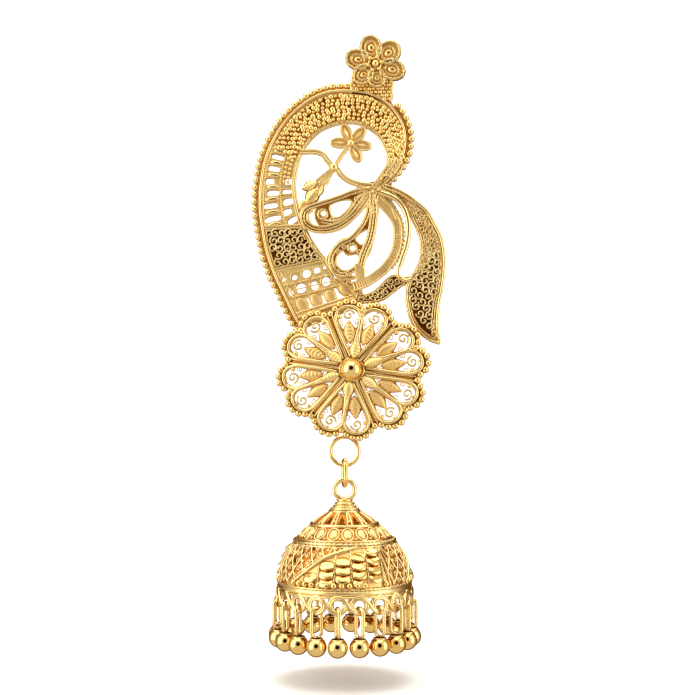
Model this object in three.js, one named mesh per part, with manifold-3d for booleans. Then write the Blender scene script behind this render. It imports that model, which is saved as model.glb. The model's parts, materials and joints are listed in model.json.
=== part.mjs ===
// A gold jhumka earring for one ear, 85 mm long: a pierced peacock plate that climbs the ear from a
// flower on an ear post, a domed rosette soldered on its lower end, and a hollow bell that swings
// below on a ring and a link, with twenty ball drops hooked round its mouth.
// Millimetres, +Z up. The origin is on the ear post where it leaves the back of the plate, +Y goes
// back into the ear, and the front of the earring faces -Y.

import * as THREE from "three";
import { mergeVertices } from "three/addons/utils/BufferGeometryUtils.js";
import Module from "manifold-3d";

const wasm = await Module();
wasm.setup();

// Driving dimensions. A depth is measured forward from the back face of the plate, so y = -depth.
const plateThickness = 0.9;
const railHeight = 1.3; // depth of the raised wires on the plate
const seatGap = 0.1; // between one piece and the next
const wireBack = plateThickness + seatGap; // scrolls lie on the front of the plate's border
const wireFront = 1.6;
const grainPitch = 1.03;
const grainRadius = 0.5;

const postRadius = 0.45;
const postLength = 10;
const postSides = 14;

const rosetteCentre = [-3.05, -42.75];
const rosetteStretch = [1.04, 0.94]; // it is a little wider than it is tall
const rosetteBack = 1.4;
const rosetteThickness = 0.7;
const rosetteRise = 1.4; // how far its middle bulges forward
const rosetteRadius = 10;
const petalPairs = 6;
const firstPetalAngle = 21;
const lobeSpread = 12.8; // degrees from a petal's axis to each of its two lobes
const rosetteGrains = 66;
const bossRadius = 1.5;

const bellAxis = [-4.3, -1.0]; // x and y of the line that the bell hangs on
const jumpRing = { centre: -54.1, radius: 1.98, wire: 0.28 };
const link = { top: -55.37, bottom: -58.85, halfWidth: 1.1, wire: 0.34, turn: 14 };
const bellLoop = { centre: -59.45, radius: 1.4, wire: 0.35 };
const bellWall = 0.7;
const bellSides = 28;
const mouthHeight = -72.85;
const crownOpenings = 12;

const dropCount = 20;
const galleryRadius = 9.3;
const galleryWall = 0.5;
const galleryTop = mouthHeight - seatGap;
const eyelet = { height: -74.07, hole: 0.66, outer: 1.3, valley: -74.35 };
const dropRing = { top: -74.38, bottom: -78.35, halfWidth: 1.1, wire: 0.22 };
const ball = { height: -79.6, radius: 1.37 };

// The crescent band, a row for each section from the knot on the right, over the top and down the
// left: the line of the rim grains and the edge of the opening.
const bandSections = [
  { rim: [1.6, -16.8], edge: [-0.3, -17.0] },
  { rim: [3.0, -15.5], edge: [1.3, -15.2] },
  { rim: [4.6, -13.0], edge: [1.8, -13.0] },
  { rim: [5.0, -10.3], edge: [1.2, -11.2] },
  { rim: [4.5, -7.9], edge: [0.3, -9.8] },
  { rim: [2.6, -5.1], edge: [-1.2, -8.7] },
  { rim: [-0.2, -3.4], edge: [-2.8, -8.1] },
  { rim: [-3.3, -2.8], edge: [-4.5, -8.1] },
  { rim: [-6.8, -2.9], edge: [-6.1, -8.4] },
  { rim: [-9.9, -4.2], edge: [-8.0, -9.3] },
  { rim: [-12.7, -6.5], edge: [-9.6, -10.9] },
  { rim: [-14.8, -9.4], edge: [-10.6, -12.7] },
  { rim: [-16.3, -12.8], edge: [-11.2, -14.7] },
  { rim: [-17.0, -16.7], edge: [-11.4, -17.0] },
  { rim: [-17.1, -20.0], edge: [-11.0, -19.8] },
  { rim: [-16.8, -22.5], edge: [-10.2, -22.3] },
  { rim: [-16.2, -25.8], edge: [-8.6, -25.3] },
  { rim: [-15.1, -29.2], edge: [-7.0, -27.4] },
  { rim: [-13.8, -32.0], edge: [-5.1, -30.0] },
  { rim: [-12.2, -35.3], edge: [-2.8, -32.3] },
  { rim: [-11.0, -37.3], edge: [-3.0, -34.2] },
];

// Openings of the band: where each lies along it in sections and across it from rim to edge, and
// its half length along and across.
const ladderWindows = [
  { along: 11.68, across: 0.43, halfAlong: 0.12, halfAcross: 0.15 },
  { along: 12.24, across: 0.42, halfAlong: 0.12, halfAcross: 0.15 },
  { along: 12.82, across: 0.37, halfAlong: 0.13, halfAcross: 0.14 },
  { along: 13.36, across: 0.42, halfAlong: 0.13, halfAcross: 0.15 },
  { along: 13.9, across: 0.39, halfAlong: 0.14, halfAcross: 0.16 },
  { along: 14.55, across: 0.38, halfAlong: 0.17, halfAcross: 0.18 },
];
const linkWindows = [
  { along: 12.86, across: 0.83, halfAlong: 0.13, halfAcross: 0.1 },
  { along: 13.26, across: 0.82, halfAlong: 0.11, halfAcross: 0.11 },
  { along: 13.72, across: 0.82, halfAlong: 0.14, halfAcross: 0.11 },
  { along: 14.24, across: 0.81, halfAlong: 0.15, halfAcross: 0.1 },
  { along: 14.7, across: 0.81, halfAlong: 0.14, halfAcross: 0.1 },
];
const latticeWindows = [
  { along: 17.4, across: 0.4, halfAlong: 0.11, halfAcross: 0.05 },
  { along: 17.4, across: 0.56, halfAlong: 0.19, halfAcross: 0.065 },
  { along: 17.4, across: 0.73, halfAlong: 0.17, halfAcross: 0.055 },
  { along: 17.4, across: 0.87, halfAlong: 0.11, halfAcross: 0.035 },
  { along: 18.02, across: 0.26, halfAlong: 0.13, halfAcross: 0.04 },
  { along: 18.0, across: 0.4, halfAlong: 0.22, halfAcross: 0.07 },
  { along: 18.0, across: 0.6, halfAlong: 0.21, halfAcross: 0.065 },
  { along: 18.0, across: 0.78, halfAlong: 0.21, halfAcross: 0.06 },
];
const leafGaps = [
  { along: 18.68, across: 0.37, halfAlong: 0.22, halfAcross: 0.04 },
  { along: 18.68, across: 0.58, halfAlong: 0.22, halfAcross: 0.04 },
  { along: 18.64, across: 0.8, halfAlong: 0.22, halfAcross: 0.045 },
];
const windowSides = 8;
const grainInside = 0.25; // how far the grains reach in from the rim line
const bandInset = 0.42; // how far in the plate begins
const railInset = 0.6; // the outer side of the bright wire beside the grains
const railWidth = 0.45;
const grainRuns = [
  { name: "rim_grains_right", from: 0.15, to: 4.75 },
  { name: "rim_grains_left", from: 7.2, to: 19.9 },
];

// The neck and the pad behind the flower.
const neckOutline = [
  [-3.4, -3.8], [-3.2, -1.4], [-2.3, 0.6], [-0.6, 2.0], [1.2, 1.6], [2.3, 0.2], [2.4, -2.4], [2.2, -5.2],
  [0.4, -5.0], [-1.8, -4.4],
];

const topPetals = [
  { angle: 103, reach: 4.3, width: 3.2 },
  { angle: 40, reach: 4.4, width: 3.3 },
  { angle: -18, reach: 4.5, width: 3.1 },
  { angle: -82, reach: 3.4, width: 2.6 },
  { angle: -139, reach: 3.8, width: 2.8 },
  { angle: 163, reach: 4.4, width: 3.0 },
];

// Scrolls in the opening: each wire's route and width.
const vineFlower = { centre: [-3.4, -11.0], reach: 2.9, width: 1.25, angles: [-65, -11, 47, 113, 177] };
const vineWires = [
  { route: [[-3.4, -11.0], [-4.5, -12.4], [-5.8, -14.4]], width: 0.55 },
  { route: [[-10.2, -12.15], [-8.6, -12.1], [-7.5, -12.45], [-6.8, -13.3], [-5.8, -14.5]], width: 0.62 },
  { route: [[-5.8, -14.2], [-4.7, -15.5], [-3.8, -16.3], [-2.8, -16.8], [-1.6, -17.15]], width: 0.6 },
  { route: [[-5.7, -14.3], [-7.0, -15.5], [-8.3, -16.8]], width: 0.75 },
];
const vineLeaves = [
  { centre: [-9.1, -18.1], length: 4.6, width: 1.8, angle: -132 },
  { centre: [-9.0, -16.7], length: 2.7, width: 1.0, angle: -146 },
];
const vineKnot = { centre: [-5.8, -14.35], radius: 0.72 };

const upperLoop = {
  outline: [
    [-1.2, -17.7], [-2.7, -17.6], [-4.8, -18.3], [-7.3, -19.15], [-9.3, -19.6], [-10.3, -20.3], [-10.5, -21.3],
    [-10.0, -22.5], [-8.7, -23.3], [-6.8, -23.5], [-4.8, -23.0], [-3.2, -21.8], [-1.9, -20.1], [-1.2, -18.8],
  ],
  windows: [
    [[-6.3, -19.7], [-3.5, -19.0], [-3.3, -19.5], [-4.3, -20.8], [-5.2, -21.4], [-6.0, -21.3]],
    [[-8.4, -20.3], [-9.2, -21.0], [-9.0, -22.0], [-8.0, -22.6], [-8.2, -21.6]],
    [[-7.6, -20.5], [-7.0, -20.4], [-6.8, -20.9], [-7.2, -21.3], [-7.65, -21.0]],
  ],
};
const lowerLoop = {
  outline: [
    [-1.0, -19.3], [-1.3, -21.3], [-2.2, -22.9], [-3.5, -24.1], [-4.8, -24.6], [-5.8, -25.7], [-6.8, -27.2],
    [-6.4, -28.5], [-5.2, -29.8], [-3.8, -30.1], [-2.6, -29.9], [-1.6, -29.6], [-1.6, -28.0], [-0.6, -26.0],
    [0.0, -23.5], [0.3, -21.7], [0.4, -20.2], [-0.2, -19.0],
  ],
  windows: [
    [[-1.1, -23.2], [-1.1, -24.3], [-1.8, -25.3], [-2.6, -24.8], [-2.7, -24.2]],
    [[-3.5, -25.4], [-2.95, -25.3], [-2.7, -25.9], [-3.2, -26.2], [-3.6, -25.9]],
    [[-4.6, -26.1], [-3.9, -26.7], [-2.5, -26.6], [-2.2, -27.2], [-2.9, -28.3], [-4.3, -28.9], [-5.3, -28.2],
      [-5.4, -27.0]],
    [[-3.3, -29.1], [-2.8, -29.1], [-2.75, -29.6], [-3.25, -29.65]],
  ],
};

// The sickle round the moon-shaped opening: a ribbed band, a rope beside it and a bright bar.
const sickleBand = {
  route: [
    [0.3, -18.8], [1.4, -19.9], [2.4, -21.1], [3.1, -22.5], [3.2, -24.2], [3.0, -25.8], [2.3, -27.4], [1.2, -28.8],
    [-0.2, -29.9], [-1.5, -30.6], [-3.0, -30.95],
  ],
  width: 1.0,
};
const sickleRibs = 22;
const sickleRope = {
  route: [[1.0, -18.4], [2.6, -20.0], [3.6, -21.8], [3.9, -23.6], [3.7, -25.4], [3.1, -27.2], [2.3, -28.7]],
  width: 0.5,
};
const sickleBar = {
  route: [
    [0.8, -18.0], [2.7, -18.8], [3.8, -19.9], [4.4, -21.2], [4.65, -22.6], [4.6, -24.1], [4.3, -25.7], [3.8, -27.1],
    [3.4, -28.4], [3.3, -29.4],
  ],
  width: 0.75,
};
const sickleBarFront = 1.85;

const tailOutline = [
  [2.4, -17.2], [3.6, -17.8], [4.8, -18.5], [6.2, -19.6], [7.5, -20.9], [8.4, -22.5], [9.2, -24.1], [9.6, -26.0],
  [9.7, -28.3], [9.4, -31.2], [8.9, -34.0], [8.7, -36.7], [9.1, -39.3], [7.5, -38.8], [5.8, -37.3], [4.9, -35.7],
  [4.4, -33.7], [4.2, -31.7], [2.6, -32.4], [0.9, -33.0], [-1.0, -33.3], [-2.6, -32.9], [-2.3, -31.9], [-0.4, -31.2],
  [1.3, -30.2], [2.5, -29.1], [3.5, -30.1], [4.6, -30.4], [5.7, -28.7], [6.35, -26.8], [6.3, -24.8], [5.8, -23.2],
  [5.2, -21.9], [4.6, -20.4], [3.6, -19.2], [2.3, -18.4],
];
const tailRail = {
  route: [
    [2.8, -17.7], [4.6, -18.9], [6.9, -20.9], [8.2, -23.0], [9.1, -26.0], [9.2, -28.3], [8.9, -31.2], [8.4, -34.0],
    [8.2, -36.7],
  ],
  width: 0.5,
};

const gold = (color, roughness) => new THREE.MeshStandardMaterial({ color, roughness, metalness: 1 });
const castGold = gold(0xe0a84a, 0.42);
const beadedGold = gold(0xe6b257, 0.34);
const polishedGold = gold(0xf0c060, 0.16);

const radians = THREE.MathUtils.degToRad;

// Joins and cuts.
function solidOf(geometry) {
  const bare = new THREE.BufferGeometry();
  const flat = geometry.index ? geometry.toNonIndexed() : geometry;
  bare.setAttribute("position", flat.getAttribute("position"));
  const merged = mergeVertices(bare, 1e-4);
  const mesh = new wasm.Mesh({
    numProp: 3,
    vertProperties: merged.attributes.position.array,
    triVerts: new Uint32Array(merged.index.array),
  });
  return new wasm.Manifold(mesh);
}

function geometryOf(solid) {
  const mesh = solid.getMesh();
  const positions = new Float32Array(mesh.numVert * 3);
  for (let i = 0; i < mesh.numVert; i++) {
    positions.set(mesh.vertProperties.subarray(i * mesh.numProp, i * mesh.numProp + 3), i * 3);
  }
  const geometry = new THREE.BufferGeometry();
  geometry.setAttribute("position", new THREE.BufferAttribute(positions, 3));
  geometry.setIndex(new THREE.BufferAttribute(mesh.triVerts, 1));
  const faceted = geometry.toNonIndexed();
  faceted.computeVertexNormals();
  return faceted;
}

const fuse = (geometries) => geometryOf(geometries.map(solidOf).reduce((whole, next) => whole.add(next)));

// Outlines in the plane of the plate, as [x, z] points.
function curveThrough(points, closed) {
  return new THREE.CatmullRomCurve3(points.map(([x, z]) => new THREE.Vector3(x, z, 0)), closed, "centripetal");
}

function outlineThrough(points, count) {
  return curveThrough(points, true).getSpacedPoints(count).slice(0, count).map((p) => new THREE.Vector2(p.x, p.y));
}

// A strip of even width along a route.
function stripOutline({ route, width }, steps) {
  const curve = curveThrough(route, false);
  const sides = [[], []];
  for (let i = 0; i <= steps; i++) {
    const point = curve.getPointAt(i / steps);
    const ahead = curve.getTangentAt(i / steps);
    const across = new THREE.Vector2(-ahead.y, ahead.x).multiplyScalar(width / 2);
    sides[0].push(new THREE.Vector2(point.x + across.x, point.y + across.y));
    sides[1].unshift(new THREE.Vector2(point.x - across.x, point.y - across.y));
  }
  return [...sides[0], ...sides[1]];
}

// A pointed leaf, widest at its middle.
function leafOutline({ centre, length, width, angle }, steps = 4) {
  const along = new THREE.Vector2(Math.cos(radians(angle)), Math.sin(radians(angle)));
  const across = new THREE.Vector2(-along.y, along.x);
  const points = [];
  for (let i = 0; i < 2 * steps; i++) {
    const t = i < steps ? i / steps : 2 - i / steps;
    const side = i < steps ? 1 : -1;
    const bulge = (side * Math.sin(Math.PI * t) * width) / 2;
    points.push(
      new THREE.Vector2(...centre).addScaledVector(along, (t - 0.5) * length).addScaledVector(across, bulge),
    );
  }
  return points;
}

// Petals round a hub, as one outline. Each petal swells from a narrow foot to a round or pointed end.
function petalRing(centre, hub, petals, pointed) {
  const swell = pointed
    ? [[0.3, 0.6], [0.55, 1], [0.8, 0.62], [1, 0]]
    : [[0.42, 0.72], [0.7, 1], [0.9, 0.72], [1, 0]];
  const points = [];
  for (const { angle, reach, width } of [...petals].sort((a, b) => a.angle - b.angle)) {
    const along = new THREE.Vector2(Math.cos(radians(angle)), Math.sin(radians(angle)));
    const across = new THREE.Vector2(-along.y, along.x);
    const at = (share, side) =>
      new THREE.Vector2(...centre)
        .addScaledVector(along, hub + (reach - hub) * share[0])
        .addScaledVector(across, (side * share[1] * width) / 2);
    const foot = [0, Math.min(0.5, hub / width)];
    const right = [foot, ...swell].map((share) => at(share, -1));
    const left = [foot, ...swell.slice(0, -1)].map((share) => at(share, 1)).reverse();
    points.push(...right, ...left);
  }
  return points;
}

function roundOutline([x, z], radius, sides) {
  return Array.from({ length: sides }, (_, i) => {
    const turn = (2 * Math.PI * i) / sides;
    return new THREE.Vector2(x + radius * Math.cos(turn), z + radius * Math.sin(turn));
  });
}

// A flat piece between two depths, with its openings.
function plate(outline, back, front, windows = []) {
  const shape = new THREE.Shape(outline);
  shape.holes = windows.map((points) => new THREE.Path(points));
  const options = { depth: front - back, bevelEnabled: false, steps: 1 };
  return new THREE.ExtrudeGeometry(shape, options).translate(0, 0, back).rotateX(Math.PI / 2);
}

function node(name, geometry, material, parent) {
  const mesh = new THREE.Mesh(geometry, material);
  mesh.name = name;
  parent.add(mesh);
  return mesh;
}

// The crescent band. bandPoint gives the point that lies a number of sections along and a share across.
const rimLine = curveThrough(bandSections.map((s) => s.rim), false);
const edgeLine = curveThrough(bandSections.map((s) => s.edge), false);

function bandPoint(along, across) {
  const t = along / (bandSections.length - 1);
  const point = rimLine.getPoint(t).lerp(edgeLine.getPoint(t), across);
  return new THREE.Vector2(point.x, point.y);
}

function bandWindow({ along, across, halfAlong, halfAcross }) {
  return Array.from({ length: windowSides }, (_, i) => {
    const turn = (2 * Math.PI * (i + 0.5)) / windowSides;
    const corner = 1 / Math.cos(Math.PI / windowSides);
    return bandPoint(
      along + halfAlong * corner * Math.cos(turn),
      across + halfAcross * corner * Math.sin(turn),
    );
  });
}

const insetLine = (inset) => (along) =>
  bandPoint(along, inset / bandPoint(along, 0).distanceTo(bandPoint(along, 1)));
const shareLine = (across) => (along) => bandPoint(along, across);

function bandStrip(from, to, near, far, steps) {
  const stations = Array.from({ length: steps + 1 }, (_, i) => from + ((to - from) * i) / steps);
  return [...stations.map(near), ...stations.reverse().map(far)];
}

function crescentBand() {
  const last = bandSections.length - 1;
  const windows = [...ladderWindows, ...linkWindows, ...latticeWindows, ...leafGaps].map(bandWindow);
  const rail = bandStrip(0.3, last - 0.6, insetLine(railInset), insetLine(railInset + railWidth), 30);
  return fuse([
    plate(bandStrip(0, last, insetLine(bandInset), shareLine(1), 38), 0, plateThickness, windows),
    plate(rail, 0, railHeight),
    plate(neckOutline.map((p) => new THREE.Vector2(...p)), 0, plateThickness),
  ]);
}

// A string of grains, joined along the rim of the band: its outer side is scalloped bead by bead.
function grainString({ from, to }) {
  const points = [];
  const fine = 400;
  const line = Array.from({ length: fine + 1 }, (_, i) => bandPoint(from + ((to - from) * i) / fine, 0));
  const lengths = [0];
  for (let i = 1; i <= fine; i++) lengths.push(lengths[i - 1] + line[i].distanceTo(line[i - 1]));
  const grains = Math.round(lengths[fine] / grainPitch);
  const place = (length) => {
    const i = Math.min(fine - 1, Math.max(0, lengths.findIndex((l) => l >= length) - 1));
    const ahead = line[i + 1].clone().sub(line[i]);
    const share = (length - lengths[i]) / ahead.length();
    const outward = new THREE.Vector2(ahead.y, -ahead.x).normalize();
    return { point: line[i].clone().addScaledVector(ahead, share), outward };
  };
  const pitch = lengths[fine] / grains;
  const scallop = [[0.02, -0.1], [0.3, 0.9], [0.7, 0.9]];
  const inner = [];
  for (let g = 0; g < grains; g++) {
    for (const [share, height] of scallop) {
      const { point, outward } = place((g + share) * pitch);
      points.push(point.addScaledVector(outward, height * grainRadius));
    }
    if (g % 2 === 0) {
      const { point, outward } = place(g * pitch);
      inner.unshift(point.addScaledVector(outward, -grainInside));
    }
  }
  const end = place(lengths[fine]);
  inner.unshift(end.point.clone().addScaledVector(end.outward, -grainInside));
  points.push(end.point.clone());
  return plate([...points, ...inner], 0.1, 1.0);
}

function topFlower() {
  const leaves = topPetals.map((p) => ({ ...p, reach: p.reach * 0.78, width: p.width * 0.55 }));
  const hub = new THREE.SphereGeometry(0.62, 10, 6).translate(0, -2.0, 0);
  return fuse([
    plate(petalRing([0, 0], 1.6, topPetals, false), wireBack, 1.65),
    plate(petalRing([0, 0], 0.8, leaves, false), 1.4, 2.05),
    hub,
  ]);
}

function earPost() {
  const tip = postLength - postRadius;
  const profile = [[0, 0], [1, 0], [1, tip], [0.6, tip + 0.3], [0, postLength]];
  const points = profile.map(([share, height], i) =>
    new THREE.Vector2(i === 0 || i === 4 ? 0 : share * postRadius, height + seatGap));
  return new THREE.LatheGeometry(points, postSides);
}

function vineScroll() {
  const petals = vineFlower.angles.map((angle) => ({ ...vineFlower, angle }));
  return fuse([
    plate(petalRing(vineFlower.centre, 0.55, petals, true), wireBack, wireFront),
    ...vineWires.map((wire) => plate(stripOutline(wire, 6), wireBack, wireFront)),
    ...vineLeaves.map((leaf) => plate(leafOutline(leaf), wireBack, wireFront + 0.15)),
    plate(roundOutline(vineKnot.centre, vineKnot.radius, 10), wireBack, wireFront + 0.1),
  ]);
}

function featherLoop({ outline, windows }, count) {
  const holes = windows.map((points) => outlineThrough(points, points.length * 2));
  return plate(outlineThrough(outline, count), wireBack, wireFront, holes);
}

function sickle() {
  const curve = curveThrough(sickleBand.route, false);
  const ribs = Array.from({ length: sickleRibs }, (_, i) => {
    const t = 0.1 + (0.88 * i) / (sickleRibs - 1);
    const point = curve.getPointAt(t);
    const ahead = curve.getTangentAt(t);
    const across = new THREE.Vector3(-ahead.y, ahead.x, 0).multiplyScalar(sickleBand.width * 0.42);
    const route = [point.clone().add(across), point.clone().sub(across)].map((p) => [p.x, p.y]);
    return plate(stripOutline({ route, width: 0.3 }, 1), wireBack + 0.1, wireFront);
  });
  return fuse([
    plate(stripOutline(sickleBand, 22), wireBack, wireFront - 0.15),
    plate(stripOutline(sickleRope, 12), wireBack, wireFront - 0.08),
    plate(stripOutline(sickleBar, 18), wireBack, sickleBarFront),
    ...ribs,
  ]);
}

function tailFeather() {
  return fuse([
    plate(tailOutline.map((p) => new THREE.Vector2(...p)), 0, plateThickness),
    plate(stripOutline(tailRail, 16), 0, railHeight),
  ]);
}

// The rosette. Its layers are cut flat, set on their centre, and bulged forward.
const lobeAngles = Array.from({ length: 2 * petalPairs }, (_, i) =>
  firstPetalAngle + 60 * Math.floor(i / 2) + (i % 2 ? lobeSpread : -lobeSpread));
const lobe = { reach: 8.0, radius: 2.1, floor: 8.75 };

function bulge(geometry) {
  const place = geometry.getAttribute("position");
  for (let i = 0; i < place.count; i++) {
    const away = Math.hypot(place.getX(i), place.getZ(i)) / rosetteRadius;
    place.setY(i, place.getY(i) - rosetteRise * (1 - away * away));
  }
  return geometry.scale(rosetteStretch[0], 1, rosetteStretch[1]).translate(rosetteCentre[0], 0, rosetteCentre[1]);
}

function polar(radius, degrees) {
  return new THREE.Vector2(radius * Math.cos(radians(degrees)), radius * Math.sin(radians(degrees)));
}

// How far out the grains lie at a bearing: on the circle of the nearest lobe, or on the floor between lobes.
function rimReach(bearing) {
  const reaches = lobeAngles.map((angle) => {
    const off = radians(bearing - angle);
    const aside = lobe.reach * Math.sin(off);
    if (Math.abs(aside) > lobe.radius || Math.cos(off) < 0) return 0;
    return lobe.reach * Math.cos(off) + Math.sqrt(lobe.radius ** 2 - aside ** 2);
  });
  return Math.max(lobe.floor, ...reaches);
}

function rosette() {
  const outline = [];
  for (let g = 0; g < rosetteGrains; g++) {
    for (const [share, height] of [[0, -0.3], [0.5, 0.6]]) {
      const bearing = (360 * (g + share)) / rosetteGrains;
      outline.push(polar(rimReach(bearing) + height * grainRadius, bearing));
    }
  }
  const windows = [];
  for (const angle of lobeAngles) {
    for (const side of [-1, 1]) {
      windows.push([
        polar(7.0, angle + side * 8.5), polar(8.3, angle + side * 9.2), polar(9.1, angle + side * 5),
        polar(8.9, angle + side * 3), polar(8.0, angle + side * 4.8),
      ]);
    }
    windows.push([polar(2.9, angle - 5), polar(4.3, angle - 5.5), polar(4.3, angle + 5.5), polar(2.9, angle + 5)]);
  }
  return bulge(plate(outline, rosetteBack, rosetteBack + rosetteThickness, windows));
}

function rosetteLeaves() {
  const back = rosetteBack + rosetteThickness + seatGap;
  const points = [];
  for (const angle of lobeAngles) {
    for (const [reach, aside] of [[2.3, -0.2], [4.2, -0.2], [5.8, -0.75], [7.7, 0], [5.8, 0.75], [4.2, 0.2], [2.3, 0.2]]) {
      const along = polar(1, angle);
      points.push(new THREE.Vector2(-along.y, along.x).multiplyScalar(aside).addScaledVector(along, reach));
    }
  }
  return bulge(plate(points, back, back + 0.45));
}

function rosetteBoss() {
  const back = rosetteBack + rosetteThickness + 0.45 + 2 * seatGap;
  const petals = Array.from({ length: petalPairs }, (_, i) => ({
    angle: firstPetalAngle + 60 * i, reach: 4.4, width: 1.4,
  }));
  const arc = Array.from({ length: 6 }, (_, i) => polar(bossRadius, 18 * i));
  const half = [new THREE.Vector2(0, 0), ...arc.slice(0, 5), new THREE.Vector2(0, bossRadius)];
  const dome = new THREE.LatheGeometry(half, 16).rotateX(Math.PI).translate(0, -back - 0.3, 0);
  return bulge(fuse([plate(petalRing([0, 0], 1.2, petals, true), back, back + 0.4), dome]));
}

// Rings of wire. A torus is made upright, facing front, and drawn out into an oval by its two ends.
function wireRing(radius, wire, sides, steps, stretch) {
  const ring = new THREE.TorusGeometry(radius, wire, sides, steps).rotateZ(Math.PI / steps).rotateX(Math.PI / 2);
  const place = ring.getAttribute("position");
  for (let i = 0; i < place.count; i++) place.setZ(i, place.getZ(i) + Math.sign(place.getZ(i)) * stretch);
  return ring;
}

function linkRing() {
  const stretch = (link.top - link.bottom) / 2 - link.halfWidth;
  return wireRing(link.halfWidth, link.wire, 6, 16, stretch).rotateZ(radians(90 + link.turn));
}

// The bell: a lathed wall with raised wires, its crown cut through between ribs, and a loop on a neck.
function bell() {
  const outside = [
    [1.5, -61.6], [1.75, -62.2], [3.2, -63.0], [4.1, -63.8], [4.5, -64.15], [5.7, -65.4], [6.5, -66.1],
    [6.95, -66.55], [7.85, -67.9], [8.5, -69.2], [9.0, -71.2], [9.4, -71.7], [9.45, mouthHeight],
  ];
  const inside = [[8.75, mouthHeight], [8.4, -71.2], [7.2, -68.0], [5.7, -66.2], [3.8, -64.4], [1.8, -63.2]];
  const profile = [[0, -61.6], ...outside, ...inside, [0, -63.0]].reverse();
  const wall = new THREE.LatheGeometry(profile.map(([r, z]) => new THREE.Vector2(r, z)), bellSides).rotateX(Math.PI / 2);
  const wedge = [[2.25, 7], [3.75, 9.5], [3.75, -9.5], [2.25, -7]];
  const cuts = Array.from({ length: crownOpenings }, (_, i) => {
    const outline = wedge.map(([r, half]) => polar(r, (360 * (i + 0.5)) / crownOpenings + half));
    return new THREE.ExtrudeGeometry(new THREE.Shape(outline), { depth: 3, bevelEnabled: false }).translate(0, 0, -65);
  });
  const loop = wireRing(bellLoop.radius, bellLoop.wire, 6, 16, 0).translate(0, 0, bellLoop.centre);
  const neck = new THREE.CylinderGeometry(0.75, 1.45, 1.3, 12).rotateX(Math.PI / 2).translate(0, 0, -61.3);
  let whole = solidOf(wall);
  for (const cutter of cuts) whole = whole.subtract(solidOf(cutter));
  return geometryOf(whole.add(solidOf(loop)).add(solidOf(neck)));
}

// The gallery under the bell: a wall of eyelets. It is drawn as a flat ring whose radius stands for
// height, and then rolled upright, so its openings need no cutting.
function gallery() {
  const flat = (s, z) => polar(galleryRadius + galleryTop - z, (180 * s) / (Math.PI * galleryRadius));
  const unit = (2 * Math.PI * galleryRadius) / dropCount;
  const outline = [];
  const windows = [];
  for (let i = 0; i < dropCount; i++) {
    const s = i * unit;
    outline.push(flat(s - unit / 2, eyelet.valley));
    for (const turn of [200, 235, 270, 305, 340]) {
      const around = polar(eyelet.outer, turn);
      outline.push(flat(s + around.x, eyelet.height + around.y));
    }
    windows.push(roundOutline([0, 0], eyelet.hole, 8).map((p) => flat(s + p.x, eyelet.height + p.y)));
    windows.push([[-0.55, -73.25], [0.55, -73.25], [0, -73.85]].map(([x, z]) => flat(s + unit / 2 + x, z)));
  }
  const rim = Array.from({ length: 2 * dropCount }, (_, i) => flat((i * unit) / 2, galleryTop));
  const shape = new THREE.Shape(outline);
  shape.holes = [rim, ...windows].map((points) => new THREE.Path(points));
  const wall = new THREE.ExtrudeGeometry(shape, { depth: galleryWall, bevelEnabled: false, steps: 1 });
  const place = wall.getAttribute("position");
  for (let i = 0; i < place.count; i++) {
    const bearing = Math.atan2(place.getY(i), place.getX(i));
    const height = galleryTop + galleryRadius - Math.hypot(place.getX(i), place.getY(i));
    const radius = galleryRadius - galleryWall / 2 + place.getZ(i);
    place.setXYZ(i, radius * Math.cos(bearing), radius * Math.sin(bearing), height);
  }
  return wall;
}

// A drop: an oval of wire hooked through its eyelet, soldered to a ball.
function drop() {
  const middle = (dropRing.top + dropRing.bottom) / 2;
  const stretch = (dropRing.top - dropRing.bottom) / 2 - dropRing.halfWidth;
  const oval = wireRing(dropRing.halfWidth, dropRing.wire, 5, 10, stretch).translate(galleryRadius, 0, middle);
  const bead = new THREE.SphereGeometry(ball.radius, 10, 5).rotateX(Math.PI / 2);
  return fuse([oval, bead.translate(galleryRadius, 0, ball.height)]);
}

const earring = new THREE.Group();
node("crescent_band", crescentBand(), castGold, earring);
for (const run of grainRuns) node(run.name, grainString(run), beadedGold, earring);
node("top_flower", topFlower(), castGold, earring);
node("ear_post", earPost(), polishedGold, earring);
node("vine_scroll", vineScroll(), castGold, earring);
node("upper_feather_loop", featherLoop(upperLoop, 36), castGold, earring);
node("lower_feather_loop", featherLoop(lowerLoop, 40), castGold, earring);
node("sickle", sickle(), castGold, earring);
node("tail_feather", tailFeather(), castGold, earring);
node("rosette", rosette(), castGold, earring);
node("rosette_leaves", rosetteLeaves(), castGold, earring);
node("rosette_boss", rosetteBoss(), polishedGold, earring);

const hanging = new THREE.Group();
hanging.position.set(bellAxis[0], bellAxis[1], 0);
earring.add(hanging);
const ring = wireRing(jumpRing.radius, jumpRing.wire, 6, 16, 0).translate(0, 0, jumpRing.centre);
node("jump_ring", ring, polishedGold, hanging);
node("link", linkRing().translate(0, 0, (link.top + link.bottom) / 2), polishedGold, hanging);
node("bell", bell(), castGold, hanging);
node("gallery", gallery(), castGold, hanging);
for (let i = 0; i < dropCount; i++) {
  const name = "drop_" + String(i + 1).padStart(2, "0");
  node(name, drop(), polishedGold, hanging).rotation.z = (2 * Math.PI * i) / dropCount;
}

export default earring;
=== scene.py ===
import json
import math
import random

import bmesh
import bpy
from mathutils import Matrix, Vector

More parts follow.
